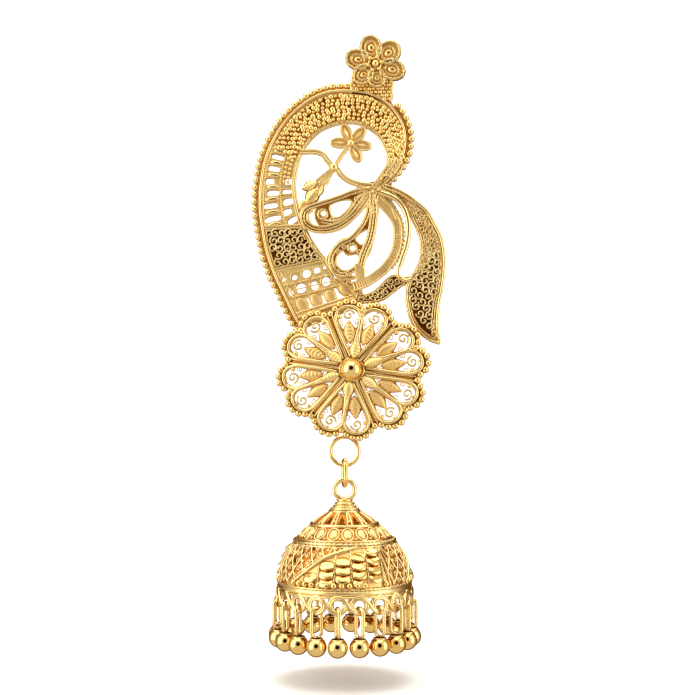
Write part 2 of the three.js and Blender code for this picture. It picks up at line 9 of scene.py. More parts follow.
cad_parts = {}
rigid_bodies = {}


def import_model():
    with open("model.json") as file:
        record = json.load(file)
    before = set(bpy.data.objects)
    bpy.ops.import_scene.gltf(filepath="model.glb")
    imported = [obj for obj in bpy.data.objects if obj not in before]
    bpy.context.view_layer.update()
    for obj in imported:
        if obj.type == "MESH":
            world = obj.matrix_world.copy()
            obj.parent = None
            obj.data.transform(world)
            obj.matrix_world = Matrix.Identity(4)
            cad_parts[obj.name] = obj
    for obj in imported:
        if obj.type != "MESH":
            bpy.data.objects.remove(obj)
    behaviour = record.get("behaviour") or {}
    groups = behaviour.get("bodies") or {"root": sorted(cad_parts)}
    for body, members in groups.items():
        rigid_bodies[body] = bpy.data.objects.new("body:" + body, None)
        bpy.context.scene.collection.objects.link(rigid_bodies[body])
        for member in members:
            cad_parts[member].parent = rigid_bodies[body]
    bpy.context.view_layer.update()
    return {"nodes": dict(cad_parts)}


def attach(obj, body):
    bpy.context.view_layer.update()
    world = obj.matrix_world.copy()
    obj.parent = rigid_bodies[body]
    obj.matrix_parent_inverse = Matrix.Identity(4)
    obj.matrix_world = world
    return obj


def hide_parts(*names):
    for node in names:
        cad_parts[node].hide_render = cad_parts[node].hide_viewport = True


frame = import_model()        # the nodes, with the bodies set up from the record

# A gold jhumka earring, 85 mm tall. Every size below is in millimetres, with x to the right, y back
# into the ear and z up, as in the frame. A depth is measured forward from the plate's back face,
# so y is minus the depth. scaleToMetres turns a finished mesh into the frame's metres.

scaleToMetres = 0.001
sceneItems = bpy.context.scene.collection.objects

# Camera and stage

view = {
    "eye": (14.1, -185.0, -44.5),      # where the photograph was taken from
    "target": (-4.0, 0.0, -39.6),
    "lens": 68.5,                      # mm on a 36 mm frame
    "floorHeight": -85.6,
    "floorReach": 900.0,
    "wallDistance": 260.0,
    "sweepRadius": 120.0,
    "shellRadius": 1500.0,
}


def metres(*values):
    return Vector(values) * scaleToMetres


def makeCamera():
    camera = bpy.data.objects.new("camera", bpy.data.cameras.new("camera"))
    camera.data.lens = view["lens"]
    camera.data.clip_start = 0.005
    camera.location = metres(*view["eye"])
    aim = metres(*view["target"]) - camera.location
    camera.rotation_euler = aim.to_track_quat("-Z", "Y").to_euler()
    sceneItems.link(camera)
    bpy.context.scene.camera = camera


makeCamera()
print("camera made")

# Materials


def linearFromHex(text):
    values = [int(text[i:i + 2], 16) / 255 for i in (1, 3, 5)]
    return [v / 12.92 if v <= 0.04045 else ((v + 0.055) / 1.055) ** 2.4 for v in values] + [1.0]


def addNode(tree, kind, settings=None, links=None):
    node = tree.nodes.new(kind)
    for key, value in (settings or {}).items():
        if isinstance(key, int) or key in node.inputs:
            node.inputs[key].default_value = value
        else:
            setattr(node, key, value)
    for key, source in (links or {}).items():
        tree.links.new(source, node.inputs[key])
    return node


def makeGold(name, look):
    # Yellow gold plate: one metal in every finish, so only its tone, its polish and the grain that the
    # caster's or the wire drawer's tools leave on it change. The deep tones of the field and of the
    # near-black material are painted shade, and on the drop balls a painted reflection.
    material = bpy.data.materials.new(name)
    material.use_nodes = True
    tree = material.node_tree
    tree.nodes.clear()
    place = addNode(tree, "ShaderNodeTexCoord")
    cloud = addNode(tree, "ShaderNodeTexNoise", {"Scale": 1000 / look["cloudSize"], "Detail": 3.0,
        "Roughness": 0.55},
                    {"Vector": place.outputs["Object"]})
    tone = addNode(tree, "ShaderNodeMix", {"data_type": "RGBA", 6: linearFromHex(look["deep"]),
                                           7: linearFromHex(look["bright"])}, {0: cloud.outputs[0]})
    polish = addNode(tree, "ShaderNodeMapRange", {3: look["smooth"], 4: look["rough"]}, {0: cloud.outputs[0]})
    grit = addNode(tree, "ShaderNodeTexNoise", {"Scale": 1000 / look["gritSize"], "Detail": 2.0},
                   {"Vector": place.outputs["Object"]})
    bump = addNode(tree, "ShaderNodeBump", {"Strength": look["gritStrength"],
        "Distance": look["gritSize"] * 0.0002},
                   {"Height": grit.outputs[0]})
    shader = addNode(tree, "ShaderNodeBsdfPrincipled", {"Metallic": 1.0}, {
        "Base Color": tone.outputs[2], "Roughness": polish.outputs[0], "Normal": bump.outputs[0]})
    addNode(tree, "ShaderNodeOutputMaterial", {}, {"Surface": shader.outputs[0]})
    return material


# castGold: sand-fine casting skin, satin. pressedGold: leaves and bands pressed from sheet, matt and warm.
# drawnGold: wire pulled through a die, bright and pale. grainGold: fused grains, bright with a soft skin.
# mirrorGold: buffed to a mirror. The field material: the plate between the wires, matt, its deeper tone
# painted shade of the ground between the wires.
# The near-black material: painted shade in recesses, gaps and holes, and a painted reflection of the dark
# bell on each drop ball.
castGold = makeGold("castGold", {"deep": "#ECC46C", "bright": "#FDE8AC", "cloudSize": 1.2, "smooth": 0.4,
                                 "rough": 0.55, "gritSize": 0.12, "gritStrength": 0.35})
pressedGold = makeGold("pressedGold", {"deep": "#E8B660", "bright": "#FBDE9C", "cloudSize": 1.6,
    "smooth": 0.42,
                                       "rough": 0.58, "gritSize": 0.12, "gritStrength": 0.3})
drawnGold = makeGold("drawnGold", {"deep": "#EDC16E", "bright": "#FDE8B0", "cloudSize": 1.8, "smooth": 0.18,
                                   "rough": 0.3, "gritSize": 0.15, "gritStrength": 0.08})
grainGold = makeGold("grainGold", {"deep": "#E9BA60", "bright": "#FCE4A4", "cloudSize": 1.2, "smooth": 0.18,
                                   "rough": 0.32, "gritSize": 0.15, "gritStrength": 0.1})
mirrorGold = makeGold("mirrorGold", {"deep": "#EFC06A", "bright": "#FAD78E", "cloudSize": 6.0, "smooth": 0.05,
                                     "rough": 0.12, "gritSize": 0.3, "gritStrength": 0.02})
# Darker orange: painted shade of the ground between the wires.
paintedShadeFieldGold = makeGold("paintedShadeFieldGold", {"deep": "#A05A16", "bright": "#D8963C", "cloudSize": 0.9, "smooth": 0.34,
                                   "rough": 0.5, "gritSize": 0.1, "gritStrength": 0.4})
# Near black: painted shade and painted reflection.
paintedShadeGold = makeGold("paintedShadeGold", {"deep": "#241002", "bright": "#74420E", "cloudSize": 0.8, "smooth": 0.35,
                                     "rough": 0.6, "gritSize": 0.1, "gritStrength": 0.5})
print("materials made")

# Curves and meshes


def smoothRoute(points, closed=False, steps=8):
    # A centripetal Catmull-Rom curve through the points, the same count of steps between each two.
    knots = [Vector(p) for p in points]
    count = len(knots)
    spans = count if closed else count - 1
    route = []
    for i in range(spans):
        for k in range(steps):
            route.append(routePoint(knots, i, k / steps, closed))
    if not closed:
        route.append(knots[-1].copy())
    return route


def routePoint(knots, i, weight, closed=False):
    count = len(knots)
    if closed:
        before, start, end, after = (knots[(i + k) % count] for k in (-1, 0, 1, 2))
    else:
        start, end = knots[i], knots[i + 1]
        before = knots[i - 1] if i > 0 else start * 2 - end
        after = knots[i + 2] if i + 2 < count else end * 2 - start
    gaps = [max((b - a).length ** 0.5, 1e-4) for a, b in ((before, start), (start, end), (end, after))]
    leave = (start - before) / gaps[0] - (end - before) / (gaps[0] + gaps[1]) + (end - start) / gaps[1]
    arrive = (end - start) / gaps[1] - (after - start) / (gaps[1] + gaps[2]) + (after - end) / gaps[2]
    leave, arrive = leave * gaps[1], arrive * gaps[1]
    curve = start + leave * weight
    curve += (end * 3 - start * 3 - leave * 2 - arrive) * weight ** 2
    curve += (start * 2 - end * 2 + leave + arrive) * weight ** 3
    return curve


def strandMesh(strands, closed=False):
    # Bare edges along each strand of (x, y, z) points.
    mesh = bpy.data.meshes.new("strands")
    points, edges = [], []
    for strand in strands:
        first = len(points)
        points += [metres(*p) for p in strand]
        edges += [(k, k + 1) for k in range(first, len(points) - 1)]
        if closed:
            edges.append((len(points) - 1, first))
    mesh.from_pydata(points, edges, [])
    return mesh


def spotMesh(spots):
    # Bare points, each with the way it faces, a turn about that way, and a size.
    mesh = bpy.data.meshes.new("spots")
    mesh.from_pydata([metres(*spot["at"]) for spot in spots], [], [])
    facing = mesh.attributes.new("facing", "FLOAT_VECTOR", "POINT")
    facing.data.foreach_set("vector", [v for spot in spots for v in spot.get("facing", (0, -1, 0))])
    turn = mesh.attributes.new("turn", "FLOAT", "POINT")
    turn.data.foreach_set("value", [math.radians(spot.get("turn", 0)) for spot in spots])
    size = mesh.attributes.new("size", "FLOAT", "POINT")
    size.data.foreach_set("value", [spot.get("size", 1) for spot in spots])
    return mesh


def newTree(name, inputs):
    tree = bpy.data.node_groups.new(name, "GeometryNodeTree")
    tree.interface.new_socket("Geometry", in_out="INPUT", socket_type="NodeSocketGeometry")
    for label, kind in inputs.items():
        tree.interface.new_socket(label, in_out="INPUT", socket_type="NodeSocket" + kind)
    tree.interface.new_socket("Geometry", in_out="OUTPUT", socket_type="NodeSocketGeometry")
    return tree, addNode(tree, "NodeGroupInput").outputs


def finishTree(tree, geometry, material):
    real = addNode(tree, "GeometryNodeRealizeInstances", {}, {0: geometry})
    smooth = addNode(tree, "GeometryNodeSetShadeSmooth", {}, {0: real.outputs[0]})
    dressed = addNode(tree, "GeometryNodeSetMaterial", {}, {"Geometry": smooth.outputs[0],
        "Material": material})
    addNode(tree, "NodeGroupOutput", {}, {0: dressed.outputs[0]})
    return tree


def wireTree():
    # A round wire along each strand.
    tree, given = newTree("wire", {"Radius": "Float", "Sides": "Int", "Material": "Material"})
    curve = addNode(tree, "GeometryNodeMeshToCurve", {}, {0: given["Geometry"]})
    section = addNode(tree, "GeometryNodeCurvePrimitiveCircle", {}, {
        "Resolution": given["Sides"], "Radius": given["Radius"]})
    wire = addNode(tree, "GeometryNodeCurveToMesh", {"Fill Caps": True}, {
        "Curve": curve.outputs[0], "Profile Curve": section.outputs[0]})
    return finishTree(tree, wire.outputs[0], given["Material"])


def ropeTree():
    # Three thin wires twisted together along each strand: a lobed section that turns as it goes.
    tree, given = newTree("rope", {"Radius": "Float", "Pitch": "Float", "Material": "Material"})
    curve = addNode(tree, "GeometryNodeMeshToCurve", {}, {0: given["Geometry"]})
    step = addNode(tree, "ShaderNodeMath", {"operation": "MULTIPLY", 1: 1 / 7}, {0: given["Pitch"]})
    even = addNode(tree, "GeometryNodeResampleCurve", {"mode": "LENGTH"}, {
        "Curve": curve.outputs[0], "Length": step.outputs[0]})
    along = addNode(tree, "GeometryNodeSplineParameter")
    turns = addNode(tree, "ShaderNodeMath", {"operation": "DIVIDE"}, {
        0: along.outputs["Length"], 1: given["Pitch"]})
    tilt = addNode(tree, "ShaderNodeMath", {"operation": "MULTIPLY", 1: math.tau / 3}, {0: turns.outputs[0]})
    twisted = addNode(tree, "GeometryNodeSetCurveTilt", {}, {"Curve": even.outputs[0],
        "Tilt": tilt.outputs[0]})
    waist = addNode(tree, "ShaderNodeMath", {"operation": "MULTIPLY", 1: 0.6}, {0: given["Radius"]})
    section = addNode(tree, "GeometryNodeCurveStar", {"Points": 3}, {
        "Inner Radius": waist.outputs[0], "Outer Radius": given["Radius"]})
    rope = addNode(tree, "GeometryNodeCurveToMesh", {"Fill Caps": True}, {
        "Curve": twisted.outputs[0], "Profile Curve": section.outputs[0]})
    return finishTree(tree, rope.outputs[0], given["Material"])


def grainTree():
    # Round grains side by side along each strand, each a little off in size and place as Spread says.
    tree, given = newTree("grains", {"Radius": "Float", "Pitch": "Float", "Detail": "Int", "Spread": "Float",
                                     "Material": "Material"})
    curve = addNode(tree, "GeometryNodeMeshToCurve", {}, {0: given["Geometry"]})
    even = addNode(tree, "GeometryNodeResampleCurve", {"mode": "LENGTH"}, {
        "Curve": curve.outputs[0], "Length": given["Pitch"]})
    stray = addNode(tree, "FunctionNodeRandomValue", {"data_type": "FLOAT_VECTOR", "Seed": 5,
        0: (-1, -0.3, -1),
                                                      1: (1, 0.3, 1)})
    reach = addNode(tree, "ShaderNodeMath", {"operation": "MULTIPLY"}, {0: given["Radius"],
        1: given["Spread"]})
    offset = addNode(tree, "ShaderNodeVectorMath", {"operation": "SCALE"}, {
        0: stray.outputs[0], "Scale": reach.outputs[0]})
    moved = addNode(tree, "GeometryNodeSetPosition", {}, {"Geometry": even.outputs[0],
        "Offset": offset.outputs[0]})
    least = addNode(tree, "ShaderNodeMath", {"operation": "SUBTRACT", 0: 1.0}, {1: given["Spread"]})
    most = addNode(tree, "ShaderNodeMath", {"operation": "ADD", 0: 1.0}, {1: given["Spread"]})
    size = addNode(tree, "FunctionNodeRandomValue", {"data_type": "FLOAT", "Seed": 3}, {
        2: least.outputs[0], 3: most.outputs[0]})
    grain = addNode(tree, "GeometryNodeMeshIcoSphere", {}, {
        "Radius": given["Radius"], "Subdivisions": given["Detail"]})
    row = addNode(tree, "GeometryNodeInstanceOnPoints", {}, {
        "Points": moved.outputs[0], "Instance": grain.outputs[0], "Scale": size.outputs[1]})
    return finishTree(tree, row.outputs[0], given["Material"])


def stampTree(name, inputs, makeStamp):
    # One stamp at each spot, facing the spot's way and turned about it.
    tree, given = newTree(name, {**inputs, "Material": "Material"})
    stamp = makeStamp(tree, given)
    facing = addNode(tree, "GeometryNodeInputNamedAttribute", {"data_type": "FLOAT_VECTOR", "Name": "facing"})
    turn = addNode(tree, "GeometryNodeInputNamedAttribute", {"data_type": "FLOAT", "Name": "turn"})
    size = addNode(tree, "GeometryNodeInputNamedAttribute", {"data_type": "FLOAT", "Name": "size"})
    # First the stamp's own up is laid along the frame's z, then it is tipped to face its way.
    spin = addNode(tree, "FunctionNodeAxisAngleToRotation", {"Axis": (0, 0, 1)}, {"Angle": turn.outputs[0]})
    level = addNode(tree, "FunctionNodeAlignRotationToVector", {"axis": "Z"}, {"Vector": facing.outputs[0]})
    upright = addNode(tree, "FunctionNodeAlignRotationToVector", {"axis": "Y", "pivot_axis": "Z",
        "Vector": (0, 0, 1)}, {
        "Rotation": level.outputs[0]})
    both = addNode(tree, "FunctionNodeRotateRotation", {"rotation_space": "LOCAL"}, {
        "Rotation": upright.outputs[0], "Rotate By": spin.outputs[0]})
    field = addNode(tree, "GeometryNodeInstanceOnPoints", {}, {
        "Points": given["Geometry"], "Instance": stamp, "Rotation": both.outputs[0],
            "Scale": size.outputs[0]})
    return finishTree(tree, field.outputs[0], given["Material"])


def grainStamp(tree, given):
    return addNode(tree, "GeometryNodeMeshIcoSphere", {"Subdivisions": 2},
        {"Radius": given["Radius"]}).outputs[0]


def curlStamp(tree, given):
    # A little scroll: a wire that winds in from its open end.
    route = addNode(tree, "GeometryNodeCurveSpiral", {"Resolution": 14, "Height": 0.0}, {
        "Rotations": given["Winds"], "Start Radius": given["Heart"], "End Radius": given["Reach"]})
    section = addNode(tree, "GeometryNodeCurvePrimitiveCircle", {"Resolution": 5}, {"Radius": given["Wire"]})
    return addNode(tree, "GeometryNodeCurveToMesh", {"Fill Caps": True}, {
        "Curve": route.outputs[0], "Profile Curve": section.outputs[0]}).outputs[0]


def ovalStamp(tree, given):
    # A pressed oval: a flattened ball, longer than it is wide.
    ball = addNode(tree, "GeometryNodeMeshUVSphere", {"Segments": 12, "Rings": 7, "Radius": 0.001})
    shape = addNode(tree, "ShaderNodeCombineXYZ", {}, {0: given["Width"], 1: given["Length"],
        2: given["Rise"]})
    return addNode(tree, "GeometryNodeTransform", {}, {"Geometry": ball.outputs[0],
        "Scale": shape.outputs[0]}).outputs[0]


trees = {
    "wire": wireTree(),
    "rope": ropeTree(),
    "grains": grainTree(),
    "spotGrains": stampTree("spotGrains", {"Radius": "Float"}, grainStamp),
    "curls": stampTree("curls", {"Winds": "Float", "Heart": "Float", "Reach": "Float", "Wire": "Float"},
        curlStamp),
    "ovals": stampTree("ovals", {"Width": "Float", "Length": "Float", "Rise": "Float"}, ovalStamp),
}
# These aren't lengths in millimetres.
plainInputs = {"Sides", "Detail", "Spread", "Winds", "Width", "Length", "Rise", "Material"}


def grown(kind, mesh, material, **settings):
    # The plain mesh that a tree makes from bare strands or spots.
    tree = trees[kind]
    item = bpy.data.objects.new(kind, mesh)
    sceneItems.link(item)
    modifier = item.modifiers.new(kind, "NODES")
    modifier.node_group = tree
    sockets = {s.name: s.identifier for s in tree.interface.items_tree if s.in_out == "INPUT"}
    for label, value in {**settings, "Material": material}.items():
        modifier[sockets[label]] = value if label in plainInputs else value * scaleToMetres
    depsgraph = bpy.context.evaluated_depsgraph_get()
    result = bpy.data.meshes.new_from_object(item.evaluated_get(depsgraph), depsgraph=depsgraph)
    bpy.data.objects.remove(item)
    bpy.data.meshes.remove(mesh)
    return result


def wires(strands, radius, material=drawnGold, closed=False, sides=8):
    return grown("wire", strandMesh(strands, closed), material, Radius=radius, Sides=sides)


def fineWires(strands, radius, material=drawnGold, closed=False):
    return wires(strands, radius, material, closed, 6)


def ropes(strands, radius, pitch, closed=False):
    return grown("rope", strandMesh(strands, closed), drawnGold, Radius=radius, Pitch=pitch)


def grainRows(strands, radius, pitch, material, closed=False, detail=2, spread=0.04):
    return grown("grains", strandMesh(strands, closed), material, Radius=radius, Pitch=pitch, Detail=detail,
                 Spread=spread)


def scrolls(spots, winds, heart, reach, wire):
    return grown("curls", spotMesh(spots), drawnGold, Winds=winds, Heart=heart, Reach=reach, Wire=wire)


def looseGrains(spots, radius, material=grainGold):
    return grown("spotGrains", spotMesh(spots), material, Radius=radius)


def pressedOvals(spots, material, width, length, rise):
    return grown("ovals", spotMesh(spots), material, Width=width, Length=length, Rise=rise)


def gridMesh(rows, material, closedAcross=False, closedAlong=False):
    # A skin over rows of points, shaded smooth.
    mesh = bpy.data.meshes.new("skin")
    across = len(rows[0])
    points = [metres(*p) for row in rows for p in row]
    faces = []
    for i in range(len(rows) if closedAlong else len(rows) - 1):
        for k in range(across if closedAcross else across - 1):
            a, b = i * across, (i + 1) % len(rows) * across
            c = (k + 1) % across
            faces.append((a + k, a + c, b + c, b + k))
    mesh.from_pydata(points, [], faces)
    mesh.materials.append(material)
    mesh.shade_smooth()
    return mesh


def closeMesh(mesh, capEnds=False):
    # Merges doubles, closes open rims if asked, and turns every face outwards.
    body = bmesh.new()
    body.from_mesh(mesh)
    bmesh.ops.remove_doubles(body, verts=body.verts, dist=1e-6)
    if capEnds:
        bmesh.ops.holes_fill(body, edges=[e for e in body.edges if e.is_boundary], sides=0)
    bmesh.ops.recalc_face_normals(body, faces=body.faces)
    body.to_mesh(mesh)
    body.free()
    return mesh


def cutPlate(outlines, back, front, bevel, material):
    # A flat piece between two depths from outlines of (x, z) points, with rounded edges. An outline
    # inside another is an opening.
    curve = bpy.data.curves.new("plate", "CURVE")
    curve.dimensions = "2D"
    curve.fill_mode = "BOTH"
    curve.extrude = ((front - back) / 2 - bevel) * scaleToMetres
    curve.bevel_depth = bevel * scaleToMetres
    curve.bevel_resolution = 2
    curve.offset = -bevel * scaleToMetres
    for outline in outlines:
        spline = curve.splines.new("POLY")
        spline.points.add(len(outline) - 1)
        for point, (x, z) in zip(spline.points, outline):
            point.co = (x * scaleToMetres, z * scaleToMetres, 0, 1)
        spline.use_cyclic_u = True
    item = bpy.data.objects.new("plate", curve)
    sceneItems.link(item)
    depsgraph = bpy.context.evaluated_depsgraph_get()
    mesh = bpy.data.meshes.new_from_object(item.evaluated_get(depsgraph), depsgraph=depsgraph)
    bpy.data.objects.remove(item)
    mesh.transform(Matrix.Translation(metres(0, -(back + front) / 2, 0)) @ Matrix.Rotation(math.pi / 2, 4,
        "X"))
    mesh.materials.clear()
    mesh.materials.append(material)
    mesh.materials.append(castGold)      # the side towards the ear is plain
    mesh = closeMesh(mesh)
    mesh.polygons.foreach_set("material_index", [int(face.normal.y > 0.7) for face in mesh.polygons])
    mesh.shade_smooth()
    mesh.set_sharp_from_angle(angle=math.radians(50))
    return mesh


def addPiece(name, meshes, body, replaced=()):
    # Joins meshes into one piece that rides on a body.
    items = []
    for mesh in meshes:
        item = bpy.data.objects.new(name, mesh)
        sceneItems.link(item)
        items.append(item)
    with bpy.context.temp_override(active_object=items[0], selected_editable_objects=items):
        bpy.ops.object.join()
    piece = items[0]
    piece.name = name
    piece.data.name = name
    if replaced:
        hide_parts(*replaced)
    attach(piece, body)
    print("piece", name, len(piece.data.polygons), "faces")
    return piece


def flat(points, depth):
    # (x, z) points of the plate as (x, y, z) points at a depth.
    return [(p[0], -depth, p[1]) for p in points]


def polar(radius, degrees):
    return (radius * math.cos(math.radians(degrees)), radius * math.sin(math.radians(degrees)))


def flatRoute(points, depth, closed=False, steps=8):
    return [(p.x, -depth, p.y) for p in smoothRoute([(x, z, 0) for x, z in points], closed, steps)]


def outlineRoute(points, steps=6):
    return [(p.x, p.y) for p in smoothRoute([(x, z, 0) for x, z in points], True, steps)]


def sideLine(route, offset):
    # The route moved sideways in the plane of the plate.
    moved = []
    for i, p in enumerate(route):
        a, b = route[max(i - 1, 0)], route[min(i + 1, len(route) - 1)]
        ahead = (Vector(b) - Vector(a)).normalized()
        moved.append((p[0] - ahead.z * offset, p[1], p[2] + ahead.x * offset))
    return moved


def ballRows(radius, place, around=28, up=18):
    rows = []
    for i in range(up + 1):
        lift = math.radians(180 * i / up)
        rows.append([(place[0] + radius * math.sin(lift) * math.cos(math.tau * k / around),
                      place[1] + radius * math.sin(lift) * math.sin(math.tau * k / around),
                      place[2] + radius * math.cos(lift)) for k in range(around)])
    return rows


def bundle(route, count, spacing, radius, roped=False):
    # Wires side by side along a route, every other one twisted if asked.
    offsets = [(k - (count - 1) / 2) * spacing for k in range(count)]
    plain = [sideLine(route, o) for k, o in enumerate(offsets) if not (roped and k % 2)]
    meshes = [fineWires(plain, radius)]
    twisted = [sideLine(route, o) for k, o in enumerate(offsets) if roped and k % 2]
    if twisted:
        meshes.append(ropes(twisted, radius, radius * 3))
    return meshes


def leafMesh(centre, length, width, angle, depth, rise, material, ribs=0, pose=None):
    # A pointed leaf with a raised midrib, closed behind. pose puts its points on a domed surface.
    rows = []
    along = Vector(polar(1, angle))
    across = Vector((-along.y, along.x))
    steps = max(10, ribs * 4)
    for i in range(steps + 1):
        t = i / steps
        half = max(math.sin(math.pi * t), 0) * width / 2
        row = []
        for k in range(9):
            u = k / 4 - 1
            crown = (1 - u * u) ** 0.5 * (0.75 + 0.25 * (1 - abs(u)))
            wave = 0.16 * math.sin(math.tau * (ribs * t + abs(u) * 0.7)) if ribs else 0
            height = rise * (crown + wave * crown) * min(1, 3 * math.sin(math.pi * t) + 0.05)
            spot = Vector(centre) + along * (t - 0.5) * length + across * half * u
            row.append((spot.x, spot.y, depth + height))
        for k in range(7, 0, -1):
            front = row[k]
            row.append((front[0], front[1], depth))
        rows.append(row)
    place = pose or (lambda x, z, d: (x, -d, z))
    return closeMesh(gridMesh([[place(*p) for p in row] for row in rows], material, closedAcross=True),
        capEnds=True)


# The crescent. Each row is a section of it, from the knot on the right, over the top and down the left.

crescent = {
    "sections": [
        {"rim": (1.6, -16.8), "edge": (-0.3, -17.0)},
        {"rim": (3.0, -15.5), "edge": (1.3, -15.2)},
        {"rim": (4.6, -13.0), "edge": (1.8, -13.0)},
        {"rim": (5.0, -10.3), "edge": (1.2, -11.2)},
        {"rim": (4.5, -7.9), "edge": (0.3, -9.8)},
        {"rim": (2.6, -5.1), "edge": (-1.2, -8.7)},
        {"rim": (-0.2, -3.4), "edge": (-2.8, -8.1)},
        {"rim": (-3.3, -2.8), "edge": (-4.5, -8.1)},
        {"rim": (-6.8, -2.9), "edge": (-6.1, -8.4)},
        {"rim": (-9.9, -4.2), "edge": (-8.0, -9.3)},
        {"rim": (-12.7, -6.5), "edge": (-9.6, -10.9)},
        {"rim": (-14.8, -9.4), "edge": (-10.6, -12.7)},
        {"rim": (-16.3, -12.8), "edge": (-11.2, -14.7)},
        {"rim": (-17.0, -16.7), "edge": (-11.4, -17.0)},
        {"rim": (-17.1, -20.0), "edge": (-11.0, -19.8)},
        {"rim": (-16.8, -22.5), "edge": (-10.2, -22.3)},
        {"rim": (-16.2, -25.8), "edge": (-8.6, -25.3)},
        {"rim": (-15.1, -29.2), "edge": (-7.0, -27.4)},
        {"rim": (-13.8, -32.0), "edge": (-5.1, -30.0)},
        {"rim": (-12.2, -35.3), "edge": (-2.8, -32.3)},
        {"rim": (-11.0, -37.3), "edge": (-3.0, -34.2)},
    ],
    "plateFront": 0.9,
    "railInset": 0.82,
    "grainRuns": [(0.15, 4.75), (7.2, 19.9)],
    "grainRadius": 0.49,
    "grainPitch": 1.0,
    "gapWire": 0.1,
}

# Openings of the crescent, filled bars and leaves: place, half length, half width, and turn.
ladderGaps = [
    (-13.83, -12.71, 0.92, 0.3, -16), (-14.36, -14.33, 0.86, 0.34, -12), (-15.0, -16.15, 0.6, 0.42, -6),
    (-14.5, -17.8, 0.86, 0.38, 0), (-14.83, -19.58, 1.0, 0.35, 5), (-14.53, -21.46, 1.15, 0.4, 12),
    (-12.33, -16.18, 0.55, 0.42, 0), (-12.5, -17.6, 0.68, 0.3, 0), (-12.38, -19.03, 0.7, 0.46, 10),
    (-12.47, -20.5, 0.6, 0.43, 20), (-11.7, -21.67, 0.72, 0.4, 30),
]
ladderBars = [
    (-13.58, -11.94, 0.95, 0.34, -14), (-14.04, -13.55, 0.9, 0.38, -12), (-14.36, -15.28, 1.0, 0.38, -8),
    (-14.5, -16.97, 0.92, 0.36, 0), (-14.67, -18.7, 1.05, 0.38, 6), (-14.6, -20.5, 1.1, 0.34, 9),
    (-14.3, -22.2, 1.05, 0.3, 12),
]
latticeGaps = [
    (-13.0, -30.0, 0.3, 0.3, 0), (-11.47, -29.75, 0.38, 0.38, 0), (-9.78, -29.22, 0.6, 0.58, 0),
    (-8.28, -28.75, 0.5, 0.45, 0), (-7.17, -28.33, 0.25, 0.25, 0), (-12.03, -31.83, 0.55, 0.3, -62),
    (-10.53, -31.25, 0.72, 0.68, 0), (-8.62, -30.92, 0.66, 0.52, -60), (-7.0, -30.33, 0.64, 0.58, -60),
    (-5.75, -29.75, 0.3, 0.28, 0),
]
wedgeGaps = [
    [(-9.9, -32.75), (-9.2, -32.6), (-8.98, -33.5), (-8.35, -34.3), (-9.15, -34.65), (-9.5, -34.0)],
    [(-7.58, -32.35), (-7.15, -32.15), (-7.0, -32.8), (-6.66, -33.4), (-7.5, -33.8), (-7.45, -33.0)],
    [(-5.85, -31.25), (-5.35, -31.35), (-5.0, -32.0), (-4.2, -32.5), (-5.0, -33.05), (-5.5, -32.8)],
]
latticeLeaves = [
    (-10.35, -33.65, 1.2, 0.86, -62), (-8.42, -32.95, 1.08, 0.76, -66), (-6.33, -32.42, 1.08, 0.78, -64),
    (-4.3, -31.5, 1.0, 0.76, -50),
]
neckOutline = [
    (-3.4, -3.8), (-3.2, -1.4), (-2.3, 0.6), (-0.6, 2.0), (1.2, 1.6), (2.3, 0.2), (2.4, -2.4), (2.2, -5.2),
    (0.4, -5.0), (-1.8, -4.4),
]
rimKnots = [Vector((*s["rim"], 0)) for s in crescent["sections"]]
edgeKnots = [Vector((*s["edge"], 0)) for s in crescent["sections"]]


def bandPoint(along, across):
    i = min(int(along), len(rimKnots) - 2)
    rim = routePoint(rimKnots, i, along - i)
    edge = routePoint(edgeKnots, i, along - i)
    return rim.lerp(edge, across)


def insetPoint(along, inset):
    return bandPoint(along, inset / (bandPoint(along, 0) - bandPoint(along, 1)).length)


def bandLine(start, end, depth, across=None, inset=0.0, step=0.08):
    count = max(2, round(abs(end - start) / step))
    stations = [start + (end - start) * i / count for i in range(count + 1)]
    points = [bandPoint(s, across) if across is not None else insetPoint(s, inset) for s in stations]
    return [(p.x, -depth, p.y) for p in points]


def crossLine(along, near, far, depth, bend=0.0):
    points = []
    for i in range(13):
        t = i / 12
        p = bandPoint(along + bend * math.sin(math.pi * t), near + (far - near) * t)
        points.append((p.x, -depth, p.y))
    return points


def ovalLine(x, z, long, wide, turn, grow=0.0, square=2.0, count=28):
    # An oval, or with a higher square a rounded box.
    along = Vector(polar(1, turn))
    points = []
    for i in range(count):
        c, s = polar(1, 360 * i / count)
        u = (long + grow) * math.copysign(abs(c) ** (2 / square), c)
        v = (wide + grow) * math.copysign(abs(s) ** (2 / square), s)
        points.append((x + along.x * u - along.y * v, z + along.y * u + along.x * v))
    return points


def insideOutline(x, z, outline):
    inside = False
    for (ax, az), (bx, bz) in zip(outline, outline[1:] + outline[:1]):
        if (az > z) != (bz > z) and x < ax + (z - az) * (bx - ax) / (bz - az):
            inside = not inside
    return inside


def bulgeMesh(x, z, long, wide, turn, depth, rise, material, ribs=0):
    # A low boss with an oval foot, crowned along its middle, with ribs across it if asked.
    rows = []
    rings = 7
    for k in range(rings + 1):
        share = 1 - k / rings
        height = rise * (1 - share ** 2) ** 0.5
        row = []
        for px, pz in ovalLine(0, 0, long * share + 1e-4, wide * share + 1e-4, 0):
            wave = 0.12 * rise * math.sin(math.tau * ribs * px / (2 * long)) * (1 - share ** 4) if ribs else 0
            along = Vector(polar(1, turn))
            row.append((x + along.x * px - along.y * pz, -depth - height - wave,
                z + along.y * px + along.x * pz))
        rows.append(row)
    return closeMesh(gridMesh(rows, material, closedAcross=True), capEnds=True)


